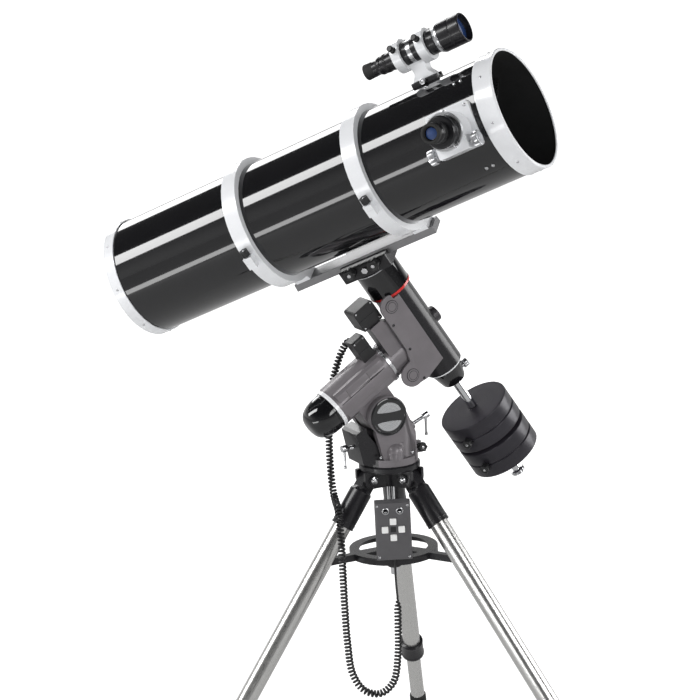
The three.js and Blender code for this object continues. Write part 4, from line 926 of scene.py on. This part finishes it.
bar = turned("counterweight_bar", POLAR, body_of("counterweight_shaft"), CHROME,
             [(0, -390), (13.5, -390), (15, -388.5)] + grooves
             + [(15, -382.2), (13.5, -381), (BAR_RADIUS, -381), (BAR_RADIUS, -20), (0, -20)],
             0.35, 72)
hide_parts("counterweight_shaft")
print("two weights on a bar")

# %% Polar cap
CAP_FACE = -244.3
bm = bmesh.new()
dome = [(40 * x ** 0.6, CAP_FACE - 14 - 43.7 * y)
        for x, y in arc(1, [4.5 * k for k in range(20)])] + [(0, CAP_FACE - 57.7)]
lathe(bm, [(0, CAP_FACE - 8), (32.3, CAP_FACE - 8), (32.3, CAP_FACE), (39, CAP_FACE),
           (40, CAP_FACE - 1), (40, CAP_FACE - 4), (39.2, CAP_FACE - 4.6),
           (39.2, CAP_FACE - 6), (40, CAP_FACE - 6.6)] + dome, 96)
cap = finish_mesh("polar_axis_cap", bm, POLAR @ ALONG_X,
                  body_of("polar_cap"), GLOSS_BLACK)
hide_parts("polar_cap")
print("polar cap turned")

# %% [markdown]
# The focuser is a rack and pinion. A chromed drawtube slides in the white body, a
# black collar holds the eyepiece with two small screws, and a pair of knurled silver
# knobs turns the pinion. The knurl is real: each knob is a circle with many fine lobes.

# %% Focuser
def knurled(bm, radius, low, high, ridges, depth, base=None):
    """A grip with fine straight ridges and plain shoulders."""
    return lobed_grip(bm, radius, low, high, ridges, depth, min(1.6, radius * 0.14), base, 4)


draw_body = body_of("drawtube")
DRAW_RADIUS = 27.5
COLLAR_SEAT, COLLAR_FACE = 168, 185
draw = turned("drawtube_barrel", FOCUS, draw_body, CHROME,
              [(25.4, 112), (DRAW_RADIUS, 112), (DRAW_RADIUS, COLLAR_SEAT + 1),
               (25.4, COLLAR_SEAT + 1)], 0.5, 96)
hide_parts("drawtube")
turned("eyepiece_collar", FOCUS, draw_body, BLACK_ANODISED,
       [(15.9, COLLAR_SEAT + 3), (25.4, COLLAR_SEAT + 3), (25.4, COLLAR_SEAT),
        (31, COLLAR_SEAT), (31, COLLAR_SEAT + 4), (30, COLLAR_SEAT + 4.8), (30, COLLAR_SEAT
       + 6), (31, COLLAR_SEAT + 6.8), (31, COLLAR_FACE - 3), (28.5, COLLAR_FACE),
        (15.9, COLLAR_FACE)], 0.6, 96)
bm = bmesh.new()
for angle in (-60, 60):
    base = base_mm(move(0, 0, 178) @ turn(angle, "Z") @ ALONG_X)
    lathe(bm, [(0, 28), (2, 28), (2, 34), (0, 34)], 20, base)
    knurled(bm, 4.2, 33, 41, 14, 0.1, base)
finish_mesh("collar_thumb_screws", bm, FOCUS, draw_body, SILVER)

eye_body = body_of("eyepiece")
EYE_SEAT = 185.3
barrel = turned("eyepiece_barrel", FOCUS, eye_body, CHROME,
                [(0, EYE_SEAT - 18), (13.6, EYE_SEAT - 18), (14.4, EYE_SEAT - 17.2),
                 (15.6, EYE_SEAT - 16.4), (15.6, EYE_SEAT + 0.4), (0, EYE_SEAT + 0.4)], 0.5)
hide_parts("eyepiece")
turned("eyepiece_housing", FOCUS, eye_body, BLACK_ANODISED,
       [(0, EYE_SEAT), (19, EYE_SEAT), (20, EYE_SEAT + 1), (20, EYE_SEAT + 22), (17, EYE_SEAT
       + 25), (17, EYE_SEAT + 30), (12.2, EYE_SEAT + 33), (11, EYE_SEAT + 33.6), (0, EYE_SEAT
       + 33.6)], 0.7, 72)
bm = bmesh.new()
knurled(bm, 20.3, EYE_SEAT + 5, EYE_SEAT + 17, 48, 0.03)
finish_mesh("eyepiece_grip", bm, FOCUS, eye_body, RUBBER)
turned("eyecup", FOCUS, eye_body, RUBBER,
       [(17.2, EYE_SEAT + 27), (19, EYE_SEAT + 31), (19, EYE_SEAT + 39), (18, EYE_SEAT + 40),
        (14, EYE_SEAT + 40), (12.6, EYE_SEAT + 33.8), (16, EYE_SEAT + 29)], 0.8, 72)
turned("eye_lens", FOCUS, eye_body, LENS_COAT,
       [(0, EYE_SEAT + 33.5), (11, EYE_SEAT + 33.5), (11, EYE_SEAT + 33.9), (8, EYE_SEAT
       + 34.6), (4, EYE_SEAT + 35), (0, EYE_SEAT + 35.1)])

pinion = FOCUS @ move(0, -32.8, 143) @ ALONG_X
pinion_body = body_of("focus_knobs")
shaft = turned("pinion_shaft", pinion, pinion_body, CHROME,
               [(0, -53), (3, -53), (3, 53), (0, 53)], 0.4, 32)
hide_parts("focus_knobs")
for n, side in enumerate((1, -1), start=1):
    base = base_mm(turn(0 if side > 0 else 180, "X"))
    bm = bmesh.new()
    knurled(bm, 15, 41, 54, 40, 0.06, base)
    lathe(bm, soften([(0, 37.5), (8, 37.5), (9, 38.5), (9, 41.5), (0, 41.5)], 0.5), 48, base)
    finish_mesh(f"focus_knob_{n}", bm, pinion, pinion_body, SILVER)
focus_body = body_of("focuser")
screws("focuser_screws", FOCUS, focus_body, SILVER,
       [move(x, y, 121.9) for x in (-38, 38) for y in (-36, 36)], 3.4, 1.8)
turned("focuser_lock_ring", FOCUS, focus_body, SILVER,
       [(30, 160), (36.4, 160), (36.4, 161.4), (35.4, 162), (35.4, 163.2), (36.4, 163.8),
        (36.4, 165.3), (30, 165.3)], 0.4, 96)
print("focuser and eyepiece made")

# %% [markdown]
# The finder is a small straight telescope. It is turned in one piece about its own
# axis: an eyepiece with a soft cup, a waist, the main barrel with a silver focus ring,
# and a wide dew cap over a coated lens. Its stalk clamps in a dovetail shoe on the tube.

# %% Finder
finder_body = body_of("finder")
along_finder = FINDER @ ALONG_X
finder = turned("finder_barrel", along_finder, finder_body, SATIN_BLACK,
                [(0, 206), (15, 206), (15, 216), (18, 222), (18, 226), (17.2, 226.8),
                 (17.2, 228), (18, 228.8), (18, 244), (24, 272), (24, 332), (23.2, 333),
                 (23.2, 335), (24, 336), (24, 348), (29, 360), (29, 386), (28.3, 386.6),
                 (28.3, 388), (29, 388.6), (29, 408.5), (28, 410), (26, 410), (26, 397),
                 (0, 397)], 0.7, 96)
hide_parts("finder")
turned("finder_eyecup", along_finder, finder_body, RUBBER,
       [(11.5, 190), (13, 188), (15.4, 188), (15.8, 190), (15.2, 200), (15.2, 208), (11.5, 208)],
       0.7)
bm = bmesh.new()
knurled(bm, 18.5, 232, 241, 44, 0.04)
finish_mesh("finder_focus_ring", bm, along_finder, finder_body, RUBBER)
bm = bmesh.new()
lathe(bm, soften([(22, 291), (24.35, 291), (24.35, 300), (22, 300)], 0.4), 96)
lathe(bm, soften([(26.5, 352.4), (26.6, 352.2), (29.2, 358.4), (29.2, 361.5), (26.5, 361.5)],
                 0.3), 96)
finish_mesh("finder_silver_rings", bm, along_finder, finder_body, SILVER)
bm = bmesh.new()
lathe(bm, [(0, 396.5), (25.9, 396.5), (25.9, 397.4)]
      + [(25.9 * x, 397.4 + 3.2 * y) for x, y in arc(1, range(9, 90, 9))] + [(0, 400.6)], 96)
lathe(bm, [(0, 189.8), (11.6, 189.8), (11.6, 191.4), (0, 192)], 48)
finish_mesh("finder_lenses", bm, along_finder, finder_body, LENS_COAT)

bracket = bpy.data.objects["finder_stalk"]
painted(bracket, BLACK_PLASTIC, lambda at, way: math.hypot(at.y, at.z - FINDER_HEIGHT) > 32.4
        and at.z > FINDER_HEIGHT)
SHOE_X = 296
ALONG_BAR = Matrix(((0, 0, 1), (1, 0, 0), (0, 1, 0))).to_4x4()
bm = bmesh.new()
drawn_out(bm, [(-15, 116.6), (15, 116.6), (15, 125), (13.5, 126.5), (6.75, 126.5),
               (9.3, 120.5), (-9.3, 120.5), (-6.75, 126.5), (-13.5, 126.5), (-15, 125)],
          SHOE_X - 28, SHOE_X + 28, ALONG_BAR)
finish_mesh("finder_shoe", bm, SIGHT, TUBE_BODY, BLACK_ANODISED, 0.6)
bm = bmesh.new()
base = base_mm(move(SHOE_X, 0, 122.6) @ turn(90, "X"))
knurled(bm, 6, 16, 25, 18, 0.08, base)
lathe(bm, [(0, 13), (2.2, 13), (2.2, 17), (0, 17)], 20, base)
finish_mesh("shoe_clamp_screw", bm, SIGHT, TUBE_BODY, SILVER)
bracket_body = body_of("finder_bracket")
bm = bmesh.new()
for x in (SHOE_X - 27, SHOE_X + 27):
    for angle in (60, -60):
        base = base_mm(move(x, 0, FINDER_HEIGHT) @ turn(angle, "X"))
        knurled(bm, 5.9, 37.5, 46.2, 16, 0.09, base)
        lathe(bm, soften([(5, 32), (6.2, 32), (6.2, 34.4), (5, 34.4)], 0.3), 32, base)
finish_mesh("finder_adjusters", bm, SIGHT, bracket_body, BLACK_PLASTIC)
print("finder made")

# %% [markdown]
# The mount head is a stack of castings. Some faces of a casting are painted grey, and
# others are turned black, silver or red, so they are picked by their place on the axis.
# Two of these stand for light and shade: the declination housing's faces that look toward
# the camera's side are painted grey for the light they catch, and the fork's rear web is
# painted black for the shade it lies in.
# The seams between two covers are real grooves, cut with a boolean.

# %% Mount head
def piece_named(name):
    """A piece that was made in an earlier cell."""
    return bpy.data.objects[name]


def groove(piece, x, y, z, base=None):
    """Cuts a box-shaped groove, given its low and high limits in the piece's millimetres."""
    bm = bmesh.new()
    drawn_out(bm, [(x[0], y[0]), (x[1], y[0]), (x[1], y[1]), (x[0], y[1])], z[0], z[1], base)
    return carved(piece, bm, CRISP)


TO_POLAR_PIECE = base_mm(ALONG_X.inverted())
polar_housing = piece_named("polar_housing_casting")
painted(polar_housing, WHITE_ENAMEL,
        lambda at, way: at.z < -235.5 and math.hypot(at.x, at.y) > 33)
painted(polar_housing, SILVER, lambda at, way: at.z > -104.6)
for x, z in (((-229, -115), (9, 10)), ((-206, -205), (10, 33)), ((-152, -151), (10, 33))):
    groove(polar_housing, x, (-60, -37.1), z, TO_POLAR_PIECE)
declination = piece_named("declination_housing_casting")
painted(declination, SATIN_BLACK, lambda at, way: abs(math.hypot(at.x, at.y) - 37) < 3
        and -92 < at.z < 113)
painted(declination, GLOSS_BLACK, lambda at, way: at.z < -94.8)
turned("nose_ring", POLAR, declination["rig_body"], WHITE_ENAMEL,
       [(33, -97), (35.2, -97), (37, -95.6), (37.2, -91.2), (33, -91.2)], 0.4, 96)
# Painted light: the housing's faces that look toward the camera's side are painted the lighter
# grey, for the light they catch.
painted(declination, CASTING, lambda at, way: at.y < -30 and way.y < -0.5
        and math.hypot(at.x, at.y) > 40)
head = piece_named("saddle_head")
painted(head, RED_ENAMEL, lambda at, way: at.z < 117.9 and math.hypot(at.x, at.y) > 20)
painted(head, GLOSS_BLACK, lambda at, way: 117.9 < at.z < 176.9)
turned("head_silver_line", DEC, head["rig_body"], SILVER,
       [(43.6, 172.5), (44.4, 172.9), (44.4, 174.6), (43.6, 175)], 0.3, 96)
bm = bmesh.new()
drawn_out(bm, circle(7.2, 6, 30), 0, 4.4, base_mm(move(0, -42.8, 191) @ turn(90, "X")))
finish_mesh("saddle_bolt", bm, DEC, head["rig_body"], CHROME, 0.7, 3)
print("mount castings painted")

# %% Cover plate and drives
plate_body = body_of("cover_plate")
bm = bmesh.new()
for x, z in ((-33, 101), (-78, -41)):
    base = base_mm(move(x, 0, z) @ turn(90, "X"))
    lathe(bm, soften([(12.4, 46.1), (13.5, 46.1), (13.5, 46.8), (12.4, 46.8)], 0.2), 64, base)
    lathe(bm, soften([(8.6, 47.6), (9.4, 47.6), (9.4, 48.1), (8.6, 48.1)], 0.15), 64, base)
finish_mesh("boss_seams", bm, POLAR, plate_body, SATIN_BLACK)
screws("plate_screws", POLAR, plate_body, BLACK_ANODISED,
       [move(x, -46.2, z) @ turn(90, "X") for x, z in ((-52, 68), (-52, 6), (-62, -62))], 3.0, 1.3)
DRIVES = [
    # cover, seam's run in X and in Z, screws' X, screws' Z, outer face's Y
    ("declination_drive_cover", (-104, -54), (112.6, 113.4), (-98, -60), (95, 131), -30),
    ("polar_drive_cover", (-138, -106), (58, 58.8), (-133, -111), (33, 80), -20),
]
for name, seam_x, seam_z, screws_x, screws_z, y in DRIVES:
    cover = piece_named(name)
    groove(cover, seam_x, (y - 1, y + 0.8), seam_z)
    screws(f"{name}_screws", POLAR, cover["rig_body"], SILVER,
           [move(x, y + 0.1, z) @ turn(90, "X") for z in screws_z for x in screws_x], 1.9, 0.9)
print("cover plate and drives dressed")

# %% [markdown]
# The fork's badge is left blank: a black rim and two brushed segments with a dark band
# between them. The two round bosses at the fork's foot end in domes, so the flat tops
# of their solids are cut to a dome.

# %% Fork
fork = piece_named("fork_casting")
# Painted shade: the fork's rear web, which lies in shade, is painted satin black behind x = -46.
painted(fork, SATIN_BLACK, lambda at, way: at.x < -46 and at.z < 104)
painted(fork, GLOSS_BLACK, lambda at, way: at.y < -45.1 and at.z > 80)
fork_body = body_of("fork")
for side in (-1, 1):
    bm = bmesh.new()
    dome = arc(19, range(0, 90, 6), 49) + [(0, 68)]
    lathe(bm, [(0, 70), (21, 70), (21, 49)] + dome, 64, Matrix.Translation((-7, side * 40, 0)))
    bmesh.ops.bisect_plane(bm, geom=bm.verts[:] + bm.edges[:] + bm.faces[:],
                           plane_co=(0, side * 45.1, 0), plane_no=(0, side, 0),
                           clear_inner=True)
    bmesh.ops.holes_fill(bm, edges=[e for e in bm.edges if e.is_boundary])
    carved(fork, bm, CRISP)
badge = HUB @ move(-19, -49, 125) @ turn(90, "X")
turned("badge_rim", badge, fork_body, GLOSS_BLACK,
       [(33.5, -0.4), (38, -0.4), (38, 0.4), (36, 1.0), (34, 0.6), (33.5, 0)], 0.3, 96)
bm = bmesh.new()
outer_edge = arc(29, range(24, 157, 6))
inner_edge = [(26 * x, 11.5 - 2.6 * y) for x, y in arc(1, range(180, -1, -15))]
for side in (-1, 1):
    shape = [(x, side * y) for x, y in outer_edge + inner_edge]
    drawn_out(bm, shape[::side], 0, 0.45)
finish_mesh("badge_segments", bm, badge, fork_body, SILVER, 0.15, 1)
screws("cheek_screws", HUB, fork_body, SILVER,
       [move(x, side * 45, 44) @ turn(-90 * side, "X") for side in (-1, 1) for x in (-40, 30)],
       3.2, 1.6)
print("fork dressed")

# %% [markdown]
# Each latitude bolt is a threaded chrome rod with a round head and a thin handle that
# hangs from it. The thread is cut as fine rings, which look the same at this size.

# %% Latitude bolts
def latitude_bolt(node, name, place, length, droop):
    """A threaded rod along Z with a round head and a handle turned down from it."""
    body = body_of(node)
    bm = bmesh.new()
    thread = []
    for k in range(int((length - 16) / 1.5)):
        thread += [(4, 1 + 1.5 * k), (3.45, 1.75 + 1.5 * k)]
    lathe(bm, [(0, 0), (3.2, 0)] + thread + [(4, length - 14), (4, length - 12)]
          + soften([(4, length - 12), (7, length - 12), (7, length), (0, length)], 0.8), 32)
    bolt = finish_mesh(name, bm, place, body, CHROME)
    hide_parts(node)
    bm = bmesh.new()
    lathe(bm, soften([(0, 0), (2.9, 0), (2.6, 8), (2.3, 30), (2.5, 36), (3, 38), (3, 41),
                      (2, 42), (0, 42)], 0.8), 32,
          base_mm(move(0, 0, length - 6) @ turn(droop, "Y")))
    finish_mesh(name + "_handle", bm, place, body, CHROME)


latitude_bolt("latitude_bolt_front", "front_latitude_bolt",
              HUB @ move(31, 0, 78.4) @ turn(66, "Y"), 66, 114)
latitude_bolt("latitude_bolt_rear", "rear_latitude_bolt",
              HUB @ move(-66, 0, 62) @ turn(-90, "Y"), 38, -90)
print("latitude bolts made")

# %% Hub, tray and knob below it
hub = piece_named("hub_casting")
painted(hub, CHROME, lambda at, way: math.hypot(at.x, at.y) < 8.6 and at.z < -20)
turned_at([turn(bearing, "Z") @ move(48, 28.2 * side, -6) @ turn(-90 * side, "X")
           for bearing in LEG_BEARINGS for side in (-1, 1)],
          "leg_bolt_caps", HUB, hub["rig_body"], CHROME,
          [(0, 0), (7.4, 0), (7.4, 1), (5.2, 1.6), (5.2, 3), (3, 4.2), (0, 4.4)], 0.6, 32)
ROD_BORE = 8.3
knob_body = body_of("spreader_knob")
bm = bmesh.new()
lobed_grip(bm, 25.5, -189.3, -171.3, 7, 0.16, 2.4)
spreader_knob = finish_mesh("tray_knob", bm, HUB, knob_body, BLACK_PLASTIC, sharp=50)
bored(spreader_knob, ROD_BORE, -200, -160, 48)
turned("tray_knob_neck", HUB, knob_body, BLACK_PLASTIC,
       [(ROD_BORE, -199.3), (12.8, -199.3), (13.5, -198.3), (13.5, -188.5), (ROD_BORE, -188.5)],
       0.6)
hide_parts("spreader_knob")
print("hub and tray dressed")

# %% [markdown]
# The handset is a flat case with four square keys, a dark centre key, two small toggle
# switches in collars and a screw in each corner. Nothing is written on it.

# %% Handset
case = piece_named("handset_case")
case_body = case["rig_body"]
FACE_X = 96
for n, side in ((1, -1), (2, 1)):
    place = HANDSET @ move(FACE_X, 14 * side, -56.2) @ ALONG_X
    toggle = turned(f"toggle_lever_{n}", place, body_of(f"switch_{n}"), CHROME,
                    [(0, -6.4), (2.2, -6.4), (2.2, -2), (1.5, 0), (1.7, 5)]
                    + arc(2.2, range(-40, 90, 13), 6.8) + [(0, 9)], sides=32)
    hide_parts(f"switch_{n}")
    turned(f"toggle_collar_{n}", place, case_body, SILVER,
           [(4.9, -0.3), (7.2, -0.3), (7.2, 0.5), (6.2, 0.9), (6.2, 1.6), (4.9, 1.6)], 0.3, 48)
bm = bmesh.new()
centre = base_mm(move(FACE_X, 0, -94.2) @ ALONG_X)
drawn_out(bm, rounded(-5.5, 5.5, -5.5, 5.5, 1.6, 4), -0.3, 1.1, centre)
finish_mesh("centre_key", bm, HANDSET, case_body, BLACK_PLASTIC, 0.5)
screws("case_screws", HANDSET, case_body, SILVER,
       [move(FACE_X - 0.1, y, z) @ ALONG_X for y in (-30, 30) for z in (-45.5, -151)], 2.6, 1.1)
print("handset dressed")

# %% [markdown]
# The last step is the studio: a pale floor that keeps a soft shadow, a white
# surround, and large soft lamps. A black gloss tube shows mostly what it mirrors, so
# the lamps are long panels that draw broad white bands along it.
# The white surround is only for rays from the camera, mirrors and glass, so the light
# on the object stays at a plain level.

# %% Lamps
TUBE_WAY = TUBE.to_3x3() @ Vector((1, 0, 0))
LAMPS = [
    # name, place, what it faces, size across and along the tube's direction, power
    ("band_panel", (-2.7, 0.5, 2.75), (-0.05, -0.05, 1.25), (0.8, 2.8), 76),
    ("low_band_panel", (-2.1, -1.0, 0.35), (-0.05, -0.05, 1.25), (0.3, 1.8), 9),
    ("front_panel", (0.9, -4.0, 2.5), (0.1, 0, 0.85), (1.9, 1.9), 66),
    ("right_panel", (3.3, -0.9, 1.5), (0.1, 0, 0.9), (1.2, 2.2), 44),
    ("back_panel", (0.6, 3.4, 3.0), (0, 0, 1.0), (1.6, 2.4), 50),
]
for name, place, faces, (across, along), power in LAMPS:
    lamp = bpy.data.lights.new(name, "AREA")
    lamp.shape = "RECTANGLE"
    lamp.size, lamp.size_y = across, along
    lamp.energy = power
    holder = bpy.data.objects.new(name, lamp)
    bpy.context.collection.objects.link(holder)
    away = (Vector(place) - Vector(faces)).normalized()
    long_side = (TUBE_WAY - away * TUBE_WAY.dot(away)).normalized()
    holder.matrix_world = Matrix.Translation(place) @ Matrix(
        (long_side.cross(away), long_side, away)).transposed().to_4x4()
    holder.visible_camera = False
print(len(LAMPS), "lamps hung")

# %% Floor
FLOOR_HALF = 40
bm = bmesh.new()
bm.faces.new([bm.verts.new((FLOOR_HALF * x, FLOOR_HALF * y, 0))
              for x, y in ((-1, -1), (1, -1), (1, 1), (-1, 1))])
floor_mesh = bpy.data.meshes.new("floor")
bm.to_mesh(floor_mesh)
bm.free()
floor = bpy.data.objects.new("floor", floor_mesh)
bpy.context.collection.objects.link(floor)
floor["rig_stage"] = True


def ray_is(tree, *kinds):
    """1 for a ray of one of these kinds, and 0 for any other."""
    path = wired(tree, "LightPath")
    value = path.outputs[kinds[0]]
    for kind in kinds[1:]:
        value = wired(tree, "Math", {0: value, 1: path.outputs[kind]},
                      operation="MAXIMUM").outputs[0]
    return value


def ramp(tree, value, start, end, low, high):
    """Goes smoothly from low to high while a value goes from start to end."""
    return wired(tree, "MapRange", {"From Min": start, "From Max": end, "To Min": low,
                                    "To Max": high, "Value": value},
                 interpolation_type="SMOOTHSTEP").outputs["Result"]


FLOOR_SHADE = 0.84
SHADE_IN_GLOSS = 0.36
GLOW_IN_GLOSS = 0.3
floor_paint = bpy.data.materials.new("studio_floor")
floor_paint.use_nodes = True
tree = floor_paint.node_tree
surface = tree.nodes["Principled BSDF"]
surface.inputs["Roughness"].default_value = 0.9
surface.inputs["Specular IOR Level"].default_value = 0.1
surface.inputs["Emission Color"].default_value = (1, 1, 1, 1)
in_gloss = ray_is(tree, "Is Glossy Ray")
shade = wired(tree, "Mix", {"A": FLOOR_SHADE, "B": SHADE_IN_GLOSS, "Factor": in_gloss})
tree.links.new(shade.outputs["Result"], surface.inputs["Base Color"])
position = wired(tree, "NewGeometry").outputs["Position"]
from_middle = wired(tree, "VectorMath", {0: position}, operation="LENGTH").outputs["Value"]
seen = ray_is(tree, "Is Camera Ray", "Is Transmission Ray")
share = wired(tree, "Math", {0: in_gloss, 1: GLOW_IN_GLOSS, 2: seen}, operation="MULTIPLY_ADD")
glow = wired(tree, "Math", {0: ramp(tree, from_middle, 1.0, 5.0, 0.5, 1.0), 1: share.outputs[0]},
             operation="MULTIPLY")
tree.links.new(glow.outputs[0], surface.inputs["Emission Strength"])
floor_mesh.materials.append(floor_paint)
print("floor laid")

# %% [markdown]
# The surround is white behind the object. A mirror finish facing the other way would
# see a whole white room and turn grey, so for glossy rays the room fades to dark above
# and on the camera's side, as a real studio does behind its panels.

# %% Surround
AMBIENT = 0.3
world = bpy.data.worlds.new("surround")
bpy.context.scene.world = world
world.use_nodes = True
tree = world.node_tree
tree.nodes.clear()
generated = wired(tree, "TexCoord").outputs["Generated"]
way = wired(tree, "SeparateXYZ", {0: generated}).outputs
room = wired(tree, "Math", {0: ramp(tree, way["Z"], 0.0, 0.55, 0.9, 0.05),
                            1: ramp(tree, way["Y"], -0.7, 0.5, 0.22, 1.0)},
             operation="MULTIPLY")
for_gloss = wired(tree, "Mix", {"A": AMBIENT, "B": room.outputs[0],
                                "Factor": ray_is(tree, "Is Glossy Ray")})
for_camera = wired(tree, "Mix", {"A": for_gloss.outputs["Result"], "B": 1.0,
                                 "Factor": ray_is(tree, "Is Camera Ray", "Is Transmission Ray")})
background = wired(tree, "Background", {"Color": (1, 1, 1, 1),
                                        "Strength": for_camera.outputs["Result"]})
wired(tree, "OutputWorld", {"Surface": background.outputs[0]})
bpy.context.scene.view_settings.view_transform = "Standard"
print("surround set")

# %% [markdown]
# Before closing, the visual model's box is measured and printed. Details may be added
# to the surface, but the part keeps its size.

# %% Measure and finish
low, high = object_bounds()
print("visual box", [round(v, 3) for v in low], [round(v, 3) for v in high])
